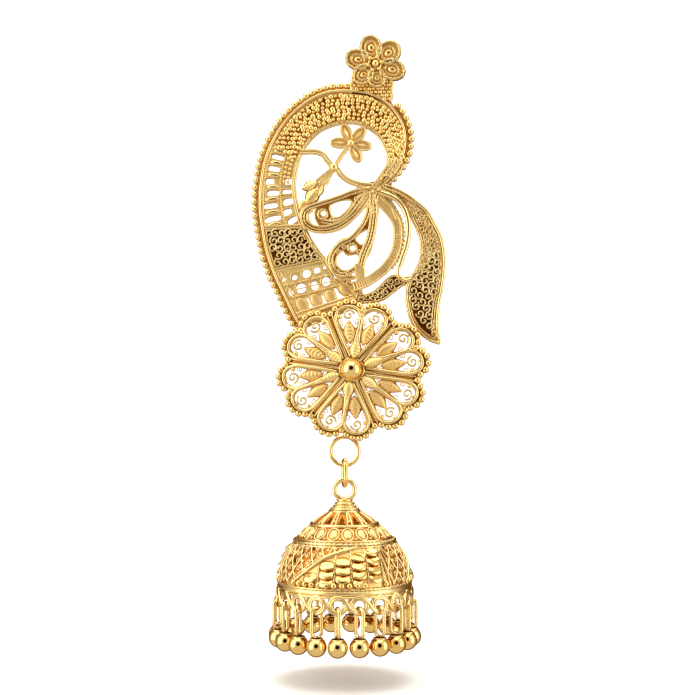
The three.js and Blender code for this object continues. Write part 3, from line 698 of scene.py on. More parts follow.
def makeCrescent():
    front = crescent["plateFront"]
    runs = crescent["grainRuns"]
    rim = [bandLine(a, b, 0.6) for a, b in runs]
    grains = grainRows(rim, crescent["grainRadius"], crescent["grainPitch"], grainGold, detail=3)
    seat = wires([bandLine(a, b, 0.4, inset=0.22) for a, b in runs], 0.22, castGold)
    # A dark wire along the gap between the rim grains and the rail: painted shade in that gap.
    gap = fineWires([bandLine(0.3, 19.6, 0.84, inset=0.53)], 0.14, paintedShadeFieldGold)
    addPiece("crescent_grains", [grains, seat, gap], "plate", ["rim_grains_right",
        "rim_grains_left"])

    edge = [(p[0], p[2]) for p in bandLine(0, 20, 0, inset=0.42)]
    edge += [(p[0], p[2]) for p in bandLine(20, 0, 0, across=1.0)]
    gaps = [ovalLine(*gap, grow=0.05,
        square=3.0) for gap in ladderGaps] + [ovalLine(*gap) for gap in latticeGaps] + wedgeGaps
    plate = cutPlate([edge, *gaps], 0.0, front, 0.06, castGold)
    neck = cutPlate([outlineRoute(neckOutline)], 0.0, front, 0.06, castGold)
    # The bed of the granules, darker than the plate: painted shade between the granules.
    bed = [bandPoint(0.9 + 0.1 * i, 0.2) for i in range(105)] + [bandPoint(11.3 - 0.1 * i,
        0.93) for i in range(105)]
    bed = cutPlate([[(p.x, p.y) for p in bed]], front - 0.1, front + 0.02, 0.005, paintedShadeFieldGold)
    addPiece("crescent_plate", [plate, neck, bed], "plate", ["crescent_band"])

    meshes = [
        wires([bandLine(0.3, 19.5, 1.18, inset=crescent["railInset"])], 0.19),
        wires([bandLine(0.0, 19.3, 0.86, across=1.0)], 0.24),
        fineWires([bandLine(0.3, 19.3, front + 0.08, across=0.945), bandLine(0.3, 19.4, front + 0.06,
            inset=1.22)], 0.12),
    ]
    # Granules from the knot over the shoulder to the ladder, each row on its own line.
    rows = []
    for r in range(7):
        share = 0.29 + 0.58 * r / 6
        rows.append(bandLine(0.9 + 0.11 * (r * 3 % 5), 11.35 - 0.05 * (r * 2 % 5), front + 0.12,
            across=share))
    meshes.append(grainRows(rows, 0.345, 0.715, grainGold, spread=0.26))
    # Dark spots among the granules of the shoulder: painted shade of deep holes between them.
    paintedShadeSpots = [{"at": (bandPoint(s, a).x, -front - 0.34, bandPoint(s, a).y), "turn": 50 * s, "size": k} for s,
        a, k in
            ((8.2, 0.34, 1.0), (9.0, 0.37, 0.9), (9.15, 0.5, 0.8), (9.9, 0.62, 0.6), (6.9, 0.55, 0.6), (5.2,
                0.5, 0.7),
             (10.6, 0.5, 0.7), (3.1, 0.55, 0.6))]
    meshes.append(pressedOvals(paintedShadeSpots, paintedShadeGold, width=0.3, length=0.36, rise=0.06))
    # Chevrons between the rim wire and the granules.
    chevrons = []
    for i in range(66):
        s = 0.9 + i * 0.16
        a, b, c = insetPoint(s, 1.28), insetPoint(s + 0.1, 1.52), insetPoint(s, 1.76)
        if (bandPoint(s, 0) - bandPoint(s, 1)).length > 3.2:
            chevrons.append([(p.x, -front - 0.08, p.y) for p in (a, b, c)])
    meshes.append(fineWires(chevrons, 0.09))

    # Ladder and lattice: a fine wire round each opening, low bosses between them.
    ovals = [flat(ovalLine(*gap, grow=0.13, square=3.0), front + 0.02) for gap in ladderGaps]
    ovals += [flat(ovalLine(*gap, grow=0.12), front + 0.02) for gap in latticeGaps]
    ovals += [flat(wedge, front + 0.02) for wedge in wedgeGaps]
    ovals += [flat(ovalLine(*bar, grow=0.06), front) for bar in ladderBars + latticeLeaves]
    meshes.append(fineWires(ovals, crescent["gapWire"], closed=True))
    meshes += [bulgeMesh(*bar, front, 0.26, drawnGold) for bar in ladderBars]
    meshes += [bulgeMesh(*leaf, front, 0.24, pressedGold) for leaf in latticeLeaves]
    lanes = [bandLine(11.45, 14.95, front + 0.08, across=a) for a in (0.64, 0.19)]
    meshes.append(grainRows(lanes, 0.17, 0.36, grainGold))
    inner = [bandLine(11.5, 12.75, front + 0.1, across=a) for a in (0.73, 0.83)]
    meshes.append(grainRows(inner, 0.27, 0.56, grainGold))
    rungs = [bandLine(17.05, 18.35, front + 0.06, across=a) for a in (0.14, 0.2)]
    meshes.append(fineWires(rungs, 0.11))
    meshes.append(ropes([crossLine(17.72, 0.14, 0.95, front + 0.1)], 0.16, 0.45))
    meshes.append(fineWires([crossLine(s, 0.16, 0.95, front + 0.05) for s in (17.22, 18.02)], 0.1))
    pips = []
    for k in range(7):
        p = bandPoint(17.7, 0.2 + 0.11 * k)
        pips.append({"at": (p.x, -front - 0.1, p.y), "size": 0.9})
    meshes.append(looseGrains(pips, 0.2))

    # Borders between the zones.
    meshes.append(fineWires([crossLine(s, 0.16, 0.97, front + 0.1) for s in (11.42, 15.02, 16.98, 18.3)],
        0.14))
    meshes.append(ropes([crossLine(s, 0.16, 0.97, front + 0.12) for s in (11.3, 15.14, 16.86)], 0.15, 0.45))

    # Scrolls on a dark plate between the ladder and the lattice; the plate's dark tone is painted shade in
    # the recess between the scrolls.
    near = [bandPoint(15.2 + 0.1 * i, 0.165) for i in range(17)]
    far = [bandPoint(16.8 - 0.1 * i, 0.93) for i in range(17)]
    paintedFloorShade = cutPlate([[(p.x, p.y) for p in near + far]], front - 0.1, front + 0.03, 0.01, paintedShadeGold)
    curls = []
    for i in range(5):
        for k in range(6 - i % 2):
            p = bandPoint(15.35 + 0.325 * i, 0.225 + 0.132 * (k + 0.5 * (i % 2)))
            curls.append({"at": (p.x, -front - 0.16, p.y), "turn": 70 * ((i * 3 + k * 2) % 5), "size": 1.12})
    meshes.append(paintedFloorShade)
    meshes.append(scrolls(curls, winds=1.2, heart=0.12, reach=0.56, wire=0.115))

    # Bottom bar with its ribs.
    bar = [crossLine(s, 0.12, 0.97, front + 0.2) for s in (18.98, 19.22)]
    meshes.append(wires(bar, 0.2))
    ribs = []
    for i in range(30):
        share = 0.13 + 0.83 * i / 29
        a, b = bandPoint(18.98, share), bandPoint(19.22, share)
        ribs.append([(a.x, -front - 0.2, a.y), (b.x, -front - 0.2, b.y)])
    meshes.append(fineWires(ribs, 0.12))

    # Neck under the flower: its edge wire, and cast granules up to the petals.
    meshes.append(wires([flatRoute(neckOutline[:3], front), flatRoute(neckOutline[5:8], front)], 0.2))
    spots = []
    for i in range(10):
        for k in range(9):
            x, z = -3.2 + i * 0.6 + 0.3 * (k % 2), -1.3 - k * 0.5
            nearest = min((Vector((x, z, 0)) - bandPoint(4.2 + q / 10, 0)).length for q in range(32))
            outside = (Vector((x, z, 0)) - Vector((-4, -18, 0))).length
            rimAway = min((bandPoint(4.2 + q / 10, 0) - Vector((-4, -18, 0))).length for q in range(32)
                          if abs(bandPoint(4.2 + q / 10, 0).x - x) < 0.7) if -3.4 < x < 2.6 else 99
            if insideOutline(x, z, neckOutline) and (nearest < 0.75 or outside > rimAway):
                spots.append({"at": (x, -front - 0.08, z), "size": 0.85 + 0.15 * ((i + k) % 3)})
    meshes.append(looseGrains(spots, 0.3))
    addPiece("crescent_filigree", meshes, "plate")


makeCrescent()

# The top flower: one cast relief, each petal a raised rim round an oval boss.

flower = {
    "petals": [(103, 4.3, 3.2), (40, 4.4, 3.3), (-18, 4.5, 3.1), (-82, 3.4, 2.6), (-139, 3.8, 2.8), (163,
        4.4, 3.0)],
    "back": 1.0,
    "base": 1.3,
    "rimRise": 0.42,
    "bossRise": 0.38,
    "around": 168,
    "outward": 40,
}


def petalPlace(x, z, petals):
    # How far the point lies from the middle of its petal, 0 there and 1 on the rim.
    best = 9.0
    for angle, reach, width in petals:
        along = Vector(polar(1, angle))
        spot = Vector((x, z))
        middle = reach * 0.56
        u = (spot.dot(along) - middle) / (reach - middle)
        v = (spot.x * -along.y + spot.y * along.x) / (width / 2)
        best = min(best, math.hypot(u, v))
    return best


def petalHeight(e):
    # A rim, a groove, a second rim inside it and a low boss.
    def ridge(middle, half):
        return max(0.0, 1 - ((e - middle) / half) ** 2) ** 0.5
    return flower["rimRise"] * max(ridge(0.87, 0.13), 0.75 * ridge(0.56,
        0.12)) + flower["bossRise"] * ridge(0.0, 0.36)


def makeFlower():
    def reachAt(degrees):
        steps = [i / 20 for i in range(101)]
        inside = [r for r in steps if r < 1.5 or petalPlace(*polar(r, degrees), flower["petals"]) <= 1.0]
        return max(inside)

    rows = []
    count = flower["around"]
    edge = [reachAt(360 * i / count) for i in range(count)]
    for k in range(flower["outward"] + 1):
        share = k / flower["outward"]
        row = []
        for i in range(count):
            x, z = polar(edge[i] * share, 360 * i / count)
            e = petalPlace(x, z, flower["petals"])
            row.append((x, -flower["base"] - petalHeight(min(e, 1.0)), z))
        rows.append(row)
    rows.append([(p[0], -flower["back"], p[2]) for p in rows[-1]])
    relief = closeMesh(gridMesh(rows, grainGold, closedAcross=True), capEnds=True)
    heart = looseGrains([{"at": (0.1, -1.95, 0.0)}], 0.55)
    ring = []
    for i in range(6):
        x, z = polar(0.95, 60 * i + 10)
        ring.append({"at": (x, -2.0, z)})
    pips = looseGrains(ring, 0.3)
    # A twisted wire round each petal and a plain one round its boss.
    outer, inner = [], []
    for angle, reach, width in flower["petals"]:
        x, z = polar(reach * 0.56, angle)
        outer.append(flat(ovalLine(x, z, reach * 0.44 * 0.87, width * 0.435, angle), flower["base"] + 0.46))
        inner.append(flat(ovalLine(x, z, reach * 0.44 * 0.5, width * 0.25, angle), flower["base"] + 0.36))
    lines = [ropes(outer, 0.24, 0.6, closed=True), fineWires(inner, 0.11, closed=True)]
    addPiece("flower_relief", [relief, heart, pips, *lines], "plate", ["top_flower"])


makeFlower()

# The vine inside the crescent.

vine = {
    "centre": (-3.4, -11.0),
    "petals": [(a, 2.85, 1.35) for a in (-65, -11, 47, 113, 177)],
    "depth": 1.22,
    "wires": [
        {"route": [(-3.4, -11.0), (-4.5, -12.4), (-5.8, -14.4)], "width": 0.6},
        {"route": [(-10.5, -12.1), (-8.6, -12.1), (-7.5, -12.45), (-6.8, -13.3), (-5.8, -14.5)],
            "width": 0.76},
        {"route": [(-5.8, -14.0), (-4.9, -15.3), (-3.8, -16.2), (-2.4, -16.75), (-0.9, -17.0)], "width": 0.8},
        {"route": [(-5.7, -14.3), (-6.9, -15.2), (-8.3, -16.3)], "width": 0.46},
        {"route": [(-5.8, -14.6), (-6.9, -15.7), (-8.1, -17.0)], "width": 0.46},
        {"route": [(-5.9, -14.9), (-6.7, -16.0), (-7.6, -17.4)], "width": 0.4},
        {"route": [(-6.1, -15.3), (-6.5, -16.0), (-6.7, -16.8)], "width": 0.3},
    ],
    "leaves": [
        {"centre": (-9.2, -16.9), "length": 2.6, "width": 1.6, "angle": -158},
        {"centre": (-8.85, -18.3), "length": 3.3, "width": 2.1, "angle": -128},
        {"centre": (-7.7, -17.6), "length": 2.2, "width": 0.9, "angle": -112},
    ],
    "foot": (-10.25, -19.6, 0.85, 0.6, 55),
    "knot": (-5.8, -14.35),
}


def makeVine():
    depth = vine["depth"]
    meshes = []
    for item in vine["wires"]:
        route = flatRoute(item["route"], depth)
        meshes += bundle(route, 2, item["width"] * 0.56, item["width"] * 0.3)
    for angle, reach, width in vine["petals"]:
        along = Vector(polar(1, angle))
        middle = Vector(vine["centre"]) + along * (0.35 + reach) / 2
        length = reach - 0.35
        meshes.append(bulgeMesh(middle.x, middle.y, length / 2, width / 2, angle, 1.02, 0.2, pressedGold))
        meshes.append(leafMesh(middle, length * 0.8, 0.5, angle, 1.15, 0.3, drawnGold))
        rim = flat(ovalLine(middle.x, middle.y, length / 2, width / 2, angle), 1.2)
        meshes.append(wires([rim], 0.17, closed=True))
    for leaf in vine["leaves"]:
        meshes.append(leafMesh(leaf["centre"], leaf["length"], leaf["width"], leaf["angle"], 1.02, 0.6,
            grainGold, ribs=7))
    meshes.append(bulgeMesh(*vine["foot"], 1.0, 0.4, pressedGold))
    spots = [{"at": (vine["centre"][0], -1.35, vine["centre"][1]), "size": 1.7},
             {"at": (vine["knot"][0], -1.25, vine["knot"][1]), "size": 2.1}]
    meshes.append(looseGrains(spots, 0.32))
    addPiece("vine_wires", meshes, "plate", ["vine_scroll"])


makeVine()

# The two feather loops: a thin pierced back, a wire round every edge, and a rope or grains between.

loops = {
    "upper": {
        "outline": [
            (-1.2, -17.7), (-2.7, -17.6), (-4.8, -18.3), (-7.3, -19.15), (-9.3, -19.6), (-10.3, -20.3),
            (-10.5, -21.3), (-10.0, -22.5), (-8.7, -23.3), (-6.8, -23.5), (-4.8, -23.0), (-3.2, -21.8),
            (-1.9, -20.1), (-1.2, -18.8),
        ],
        "windows": [
            [(-6.3, -19.7), (-3.5, -19.0), (-3.3, -19.5), (-4.3, -20.8), (-5.2, -21.4), (-6.0, -21.3)],
            [(-8.4, -20.0), (-9.3, -20.7), (-9.35, -21.7), (-8.6, -22.55), (-7.9, -22.6), (-8.35, -21.7),
                (-8.5, -20.8)],
            [(-7.6, -20.5), (-7.0, -20.4), (-6.8, -20.9), (-7.2, -21.3), (-7.65, -21.0)],
        ],
        "strands": [
            {"route": [(-0.6, -17.5), (-2.6, -17.75), (-5.0, -18.6), (-7.4, -19.35), (-9.2, -19.9)],
                "count": 2},
            {"route": [(-0.9, -18.3), (-2.2, -20.2), (-3.8, -21.75), (-5.6, -22.75), (-7.4, -23.1), (-9.0,
                -22.8),
                       (-9.9, -21.9), (-9.9, -20.8), (-9.0, -20.0)], "count": 3},
            {"route": [(-1.2, -18.1), (-2.3, -19.0), (-3.4, -20.6), (-4.6, -21.75), (-6.0, -22.1), (-7.5,
                -21.9)],
             "count": 2},
        ],
        "ring": (-7.35, -20.95, 0.68),
        "curls": [(-6.1, -21.75), (-2.6, -18.9), (-3.1, -19.6), (-2.0, -18.4)],
    },
    "lower": {
        "outline": [
            (-1.0, -19.3), (-1.3, -21.3), (-2.2, -22.9), (-3.5, -24.1), (-4.8, -24.6), (-5.8, -25.7),
            (-6.8, -27.2), (-6.4, -28.5), (-5.2, -29.8), (-3.8, -30.1), (-2.6, -29.9), (-1.6, -29.6),
            (-1.6, -28.0), (-0.6, -26.0), (0.0, -23.5), (0.3, -21.7), (0.4, -20.2), (-0.2, -19.0),
        ],
        "windows": [
            [(-1.1, -23.2), (-1.1, -24.3), (-1.8, -25.3), (-2.6, -24.8), (-2.7, -24.2)],
            [(-3.5, -25.4), (-2.95, -25.3), (-2.7, -25.9), (-3.2, -26.2), (-3.6, -25.9)],
            [(-4.6, -26.1), (-3.9, -26.7), (-2.5, -26.6), (-2.2, -27.2), (-2.9, -28.3), (-4.3, -28.9),
                (-5.3, -28.2),
             (-5.4, -27.0)],
            [(-3.3, -29.1), (-2.8, -29.1), (-2.75, -29.6), (-3.25, -29.65)],
        ],
        "strands": [
            {"route": [(-0.3, -18.9), (-0.15, -20.4), (-0.3, -22.4), (-0.75, -24.6), (-1.5, -26.4), (-1.95,
                -28.0),
                       (-2.0, -29.9)], "count": 3},
            {"route": [(-0.7, -19.4), (-1.2, -21.4), (-2.1, -23.0), (-3.4, -24.4), (-4.8, -25.1), (-5.9,
                -26.3),
                       (-6.25, -27.6), (-5.7, -28.9), (-4.6, -29.5), (-3.2, -28.9), (-2.3, -28.2)],
                           "count": 2},
        ],
        "foot": [(-2.8, -27.9), (-1.75, -28.3), (-1.5, -29.3), (-1.5, -30.1), (-2.5, -30.3), (-2.8, -29.2)],
        "ring": (-3.2, -25.7, 0.62),
        "curls": [(-2.3, -26.3), (-4.3, -25.65), (-3.7, -29.5), (-5.1, -26.2)],
    },
    "back": 1.0,
    "front": 1.35,
}


def makeLoop(name, loop, replaced):
    outline = outlineRoute(loop["outline"])
    windows = [outlineRoute(w) for w in loop["windows"]]
    back, front = loops["back"], loops["front"]
    meshes = [
        # The pierced back is darkened with painted shade of the ground between the wires.
        cutPlate([outline, *windows], back, front - 0.12, 0.06, paintedShadeFieldGold),
        fineWires([flat(outline, front - 0.1)], 0.17, closed=True),
        fineWires([flat(w, front - 0.08) for w in windows], 0.14, closed=True),
    ]
    for strand in loop["strands"]:
        meshes += bundle(flatRoute(strand["route"], front + 0.04), strand["count"], 0.42, 0.175, roped=True)
    if "foot" in loop:
        meshes.append(cutPlate([outlineRoute(loop["foot"])], back, front + 0.2, 0.1, pressedGold))
    x, z, radius = loop["ring"]
    meshes.append(ropes([flat(ovalLine(x, z, radius, radius, 0), front + 0.05)], 0.18, 0.45, closed=True))
    curls = [{"at": (cx, -front - 0.02, cz), "turn": 80 * i} for i, (cx, cz) in enumerate(loop["curls"])]
    meshes.append(scrolls(curls, winds=1.2, heart=0.1, reach=0.38, wire=0.12))
    addPiece(name, meshes, "plate", [replaced])


makeLoop("upper_loop_wires", loops["upper"], "upper_feather_loop")
makeLoop("lower_loop_wires", loops["lower"], "lower_feather_loop")

# The sickle: a ribbed band between two wires, a rope, and a bright bar outside.

sickle = {
    "band": [
        (0.3, -18.8), (1.4, -19.9), (2.4, -21.1), (3.1, -22.5), (3.2, -24.2), (3.0, -25.8), (2.3, -27.4),
        (1.2, -28.8), (-0.2, -29.9), (-1.5, -30.65), (-3.3, -31.2),
    ],
    "rope": [(1.0, -18.4), (2.6, -20.0), (3.6, -21.8), (3.9, -23.6), (3.7, -25.4), (3.1, -27.2), (2.3,
        -28.7)],
    "bar": [
        (0.8, -18.0), (2.7, -18.8), (3.8, -19.9), (4.4, -21.2), (4.65, -22.6), (4.6, -24.1), (4.3, -25.7),
        (3.8, -27.1), (3.4, -28.4),
    ],
    "hook": [(3.45, -28.1), (3.22, -29.0), (3.4, -29.85), (4.1, -30.3), (5.0, -30.2)],
    "seamFrom": 17.0,      # stations of the crescent between which a strip joins it to the lower loop
    "seamTo": 19.15,
    "halfWidth": 0.56,
    "ribPitch": 0.34,
    "ribsFrom": 0.4,       # the band is plain above
    "back": 1.0,
    "front": 1.45,
}


def stripMesh(route, halfWidth, back, material):
    # A thin band with flat sides along a route of points that lie at its front.
    left, right = sideLine(route, halfWidth), sideLine(route, -halfWidth)
    rows = []
    for a, b in zip(left, right):
        rows.append([a, b, (b[0], -back, b[2]), (a[0], -back, a[2])])
    mesh = closeMesh(gridMesh(rows, material, closedAcross=True), capEnds=True)
    mesh.shade_flat()
    return mesh


def makeSickle():
    half = sickle["halfWidth"]
    route = flatRoute(sickle["band"], 1.3, steps=16)
    inner, outer = sideLine(route, half), sideLine(route, -half)
    meshes = [stripMesh(route, half, sickle["back"], pressedGold)]
    meshes.append(wires([[(p[0], -1.38, p[2]) for p in line] for line in (inner, outer)], 0.15))
    length = sum((Vector(b) - Vector(a)).length for a, b in zip(route, route[1:]))
    count = int(length / sickle["ribPitch"])
    ribs = []
    for i in range(int(count * sickle["ribsFrom"]), count):
        k = round(i * (len(route) - 1) / count)
        ribs.append([(p[0], -1.36, p[2]) for p in (inner[k], outer[k])])
    meshes.append(fineWires(ribs, 0.12))
    meshes.append(ropes([flatRoute(sickle["rope"], 1.27)], 0.27, 0.6))
    meshes.append(grainRows([sideLine(flatRoute(sickle["rope"], 1.2), -0.36)], 0.15, 0.32, grainGold))
    bar = flatRoute(sickle["bar"], 1.42)
    meshes.append(wires([bar], 0.4, sides=14))
    meshes.append(wires([flatRoute(sickle["hook"], 1.3)], 0.27))
    # The strip of scrolls beside the crescent that the loop and the sickle end on.
    start, end = sickle["seamFrom"], sickle["seamTo"]
    strip = bandLine(start, end, 0, across=1.0) + bandLine(end, start, 0, across=1.11)
    # The strip's plate is darkened with painted shade between its scrolls.
    meshes.append(cutPlate([[(p[0], p[2]) for p in strip]], 0.95, 1.15, 0.05, paintedShadeFieldGold))
    meshes.append(ropes([bandLine(start, end, 1.2, across=1.015)], 0.17, 0.45))
    meshes.append(fineWires([bandLine(start, end, 1.15, across=1.11)], 0.16))
    curls = []
    for i in range(9):
        spot = bandPoint(start + 0.15 + (end - start - 0.3) * i / 8, 1.06 + 0.01 * (i % 2))
        curls.append({"at": (spot.x, -1.22, spot.y), "turn": 100 * i, "size": 0.85})
    meshes.append(scrolls(curls, winds=1.2, heart=0.12, reach=0.4, wire=0.12))
    addPiece("sickle_ribs", meshes, "plate", ["sickle"])


makeSickle()

# The knot, where the crescent, the loops, the sickle and the tail feather come together.

knot = {
    "outline": [
        (-2.6, -17.1), (-0.8, -16.5), (0.4, -16.2), (1.7, -15.4), (2.5, -16.0), (2.3, -17.0), (3.4, -17.9),
            (2.6, -18.7),
        (1.5, -19.4), (0.6, -19.6), (0.1, -20.4), (-0.8, -20.4), (-1.3, -19.3), (-2.4, -18.6),
    ],
    "strands": [
        [(3.3, -13.2), (2.3, -14.8), (0.8, -16.4), (-0.5, -17.6), (-1.3, -18.8), (-2.3, -20.3)],
        [(2.2, -13.6), (1.4, -15.0), (0.5, -16.3), (-0.3, -17.5), (-0.5, -19.0), (-0.4, -21.2)],
        [(3.9, -13.9), (2.9, -15.5), (1.5, -16.9), (0.4, -18.0), (0.0, -19.4), (-0.1, -21.0)],
        [(-2.4, -16.9), (-0.9, -17.0), (0.8, -17.3), (2.4, -18.2), (3.6, -19.4)],
        [(-3.0, -17.9), (-1.4, -17.5), (0.2, -17.6), (1.4, -18.5), (2.5, -20.0), (3.2, -21.7)],
        [(1.2, -17.1), (2.4, -17.5), (3.9, -18.2), (5.4, -19.2)],
    ],
    "beads": [(0.9, -16.1), (1.5, -15.6), (-0.9, -17.3), (-0.3, -17.9), (0.5, -17.6), (1.9, -18.1)],
    "back": 0.95,
    "front": 1.2,
}


def makeKnot():
    # The knot's plate is darkened with painted shade between its strands.
    meshes = [cutPlate([outlineRoute(knot["outline"])], knot["back"], knot["front"] - 0.1, 0.05, paintedShadeFieldGold)]
    for route in knot["strands"]:
        meshes += bundle(flatRoute(route, knot["front"] + 0.12), 2, 0.44, 0.18, roped=True)
    beads = [{"at": (x, -knot["front"] - 0.3, z)} for x, z in knot["beads"]]
    meshes.append(looseGrains(beads, 0.24))
    addPiece("knot_strands", meshes, "plate")


makeKnot()

# The tail feather: scrolls on a plate between double wires, darkened with painted shade.

tail = {
    "outer": [
        (2.4, -17.4), (3.6, -17.9), (4.8, -18.6), (6.2, -19.7), (7.4, -21.0), (8.3, -22.6), (9.1, -24.2),
        (9.5, -26.0), (9.6, -28.3), (9.3, -31.2), (8.8, -34.0), (8.6, -36.7), (9.0, -39.1),
    ],
    "inner": [
        (2.5, -18.4), (3.7, -19.2), (4.7, -20.4), (5.3, -21.9), (5.9, -23.2), (6.4, -24.8), (6.45, -26.8),
        (5.8, -28.7), (4.7, -30.4), (4.35, -31.8), (4.5, -33.7), (5.0, -35.7), (5.9, -37.2), (7.6, -38.6),
            (9.0, -39.1),
    ],
    "pocket": [
        (4.7, -29.9), (3.7, -30.0), (2.6, -29.6), (1.6, -30.2), (0.7, -31.1), (-0.3, -31.9), (-1.7, -32.4),
            (-3.4, -32.6),
        (-3.2, -33.2), (-1.2, -33.3), (1.1, -32.9), (2.5, -31.9), (3.9, -30.9), (4.8, -30.7),
    ],
    "curlPitch": 0.92,
    "curlsFrom": 0.07,
    "curlsTo": 0.96,
    "length": 24.5,
    # From this share of the feather's length on, painted shade darkens its floor.
    "paintedShadeFrom": 0.55,     # share of the feather's length where its floor turns dark
    "pocketCurls": [(3.0, -30.4), (2.2, -30.4), (2.4, -31.2), (1.5, -31.0), (1.5, -31.9), (0.7, -31.8),
        (0.7, -32.5),
                    (-0.1, -32.3), (-0.4, -32.8), (-1.1, -32.6), (-1.9, -32.8), (-2.6, -32.9), (3.6, -30.5)],
}


def makeTail():
    front = crescent["plateFront"]
    outer, inner = flatRoute(tail["outer"], front), flatRoute(tail["inner"], front)
    pocket = flatRoute(tail["pocket"], front, closed=True)
    blade = [(p[0], p[2]) for p in outer + inner[::-1]]
    # The feather's plate is darkened with painted shade between the scrolls.
    plate = cutPlate([blade], 0.0, front, 0.06, paintedShadeFieldGold)
    # The pocket's plate is near black: painted shade in the recess under its scrolls.
    pouch = cutPlate([[(p[0], p[2]) for p in pocket]], 0.0, front, 0.06, paintedShadeGold)
    addPiece("tail_plate", [plate, pouch], "plate", ["tail_feather"])

    meshes = [
        wires([outer, inner], 0.24),
        wires([pocket], 0.2, closed=True),
        ropes([sideLine(outer, -0.42)[2:-3], sideLine(inner, 0.42)[4:-3]], 0.15, 0.45),
        fineWires([sideLine(outer, -0.75)[8:-6]], 0.12),
    ]

    def across(t):
        a, b = outer[round(t * (len(outer) - 1))], inner[round(t * (len(inner) - 1))]
        return a, b, math.dist(a, b)

    curls = []
    t = tail["curlsFrom"]
    while t < tail["curlsTo"]:
        size = 1.15 if t > tail["paintedShadeFrom"] else 0.85
        a, b, width = across(t)
        pitch = tail["curlPitch"] * size
        fit = max(int((width - 0.95) / pitch), 1)
        for k in range(fit if width > 1.4 else 0):
            share = 0.5 + (k - (fit - 1) / 2) * pitch / width
            x, z = a[0] + (b[0] - a[0]) * share, a[2] + (b[2] - a[2]) * share
            curls.append({"at": (x, -front - 0.16, z), "turn": 85 * ((len(curls) * 3) % 4), "size": size})
        t += pitch / tail["length"]
    paintedFloorShade = []
    for i in range(30):
        a, b, width = across(tail["paintedShadeFrom"] + (tail["curlsTo"] - tail["paintedShadeFrom"]) * i / 29)
        if width > 1.6:
            paintedFloorShade.append((a, b, 0.62 / width))
    inset = [[(a[0] + (b[0] - a[0]) * m, a[2] + (b[2] - a[2]) * m) for a, b, m in paintedFloorShade],
             [(a[0] + (b[0] - a[0]) * (1 - m), a[2] + (b[2] - a[2]) * (1 - m)) for a, b, m in paintedFloorShade]]
    # A near-black inset down the lower feather: painted shade between the scrolls.
    meshes.append(cutPlate([inset[0] + inset[1][::-1]], front - 0.1, front + 0.03, 0.01, paintedShadeGold))
    for x, z in tail["pocketCurls"]:
        curls.append({"at": (x, -front - 0.16, z), "turn": 100 * x, "size": 0.9})
    meshes.append(scrolls(curls, winds=1.2, heart=0.11, reach=0.54, wire=0.115))
    addPiece("tail_filigree", meshes, "plate")


makeTail()

# The rosette: six petals of two lobes, each a wire teardrop with a ribbed leaf and a scroll.

rosette = {
    "centre": (-3.05, -42.75),
    "stretch": (1.04, 0.94),
    "back": 1.4,
    "rise": 1.4,
    "radius": 10.0,
    "firstPetal": 21,
    "lobeSpread": 12.8,
    "lobeReach": 8.0,       # the lobe's circle, where the rim grains run
    "lobeRadius": 2.1,
    "floor": 8.75,          # how far out the grains stay between the lobes
    "ballRadius": 1.48,
    "floorDepth": 0.7,      # depth of the pierced floor that the wires lie on
    "grainRadius": 0.49,
    "grainPitch": 0.99,
}
lobeAngles = [rosette["firstPetal"] + 60 * (i // 2) + rosette["lobeSpread"] * (1 if i % 2 else -1)
              for i in range(12)]


def rosettePlace(x, z, depth):
    away = math.hypot(x, z) / rosette["radius"]
    y = -(rosette["back"] + depth + rosette["rise"] * (1 - away * away))
    return (rosette["centre"][0] + rosette["stretch"][0] * x, y,
        rosette["centre"][1] + rosette["stretch"][1] * z)


def rosetteRoute(points, depth, closed=False, steps=6):
    return [rosettePlace(p.x, p.y, depth) for p in smoothRoute([(x, z, 0) for x, z in points], closed, steps)]


def lobeLine(angle, points, depth, closed=False, steps=6):
    # Points given as (outward, aside) from the rosette's centre along a bearing.
    along = Vector(polar(1, angle))
    turned = [(along.x * r - along.y * a, along.y * r + along.x * a) for r, a in points]
    return rosetteRoute(turned, depth, closed, steps)


def rimReach(bearing):
    # How far out the grains run at a bearing: on the circle of the nearest lobe, or on the floor.
    best = rosette["floor"]
    for angle in lobeAngles:
        off = math.radians(bearing - angle)
        aside = rosette["lobeReach"] * math.sin(off)
        if abs(aside) < rosette["lobeRadius"] and math.cos(off) > 0:
            far = rosette["lobeReach"] * math.cos(off) + math.sqrt(rosette["lobeRadius"] ** 2 - aside ** 2)
            best = max(best, far)
    return best


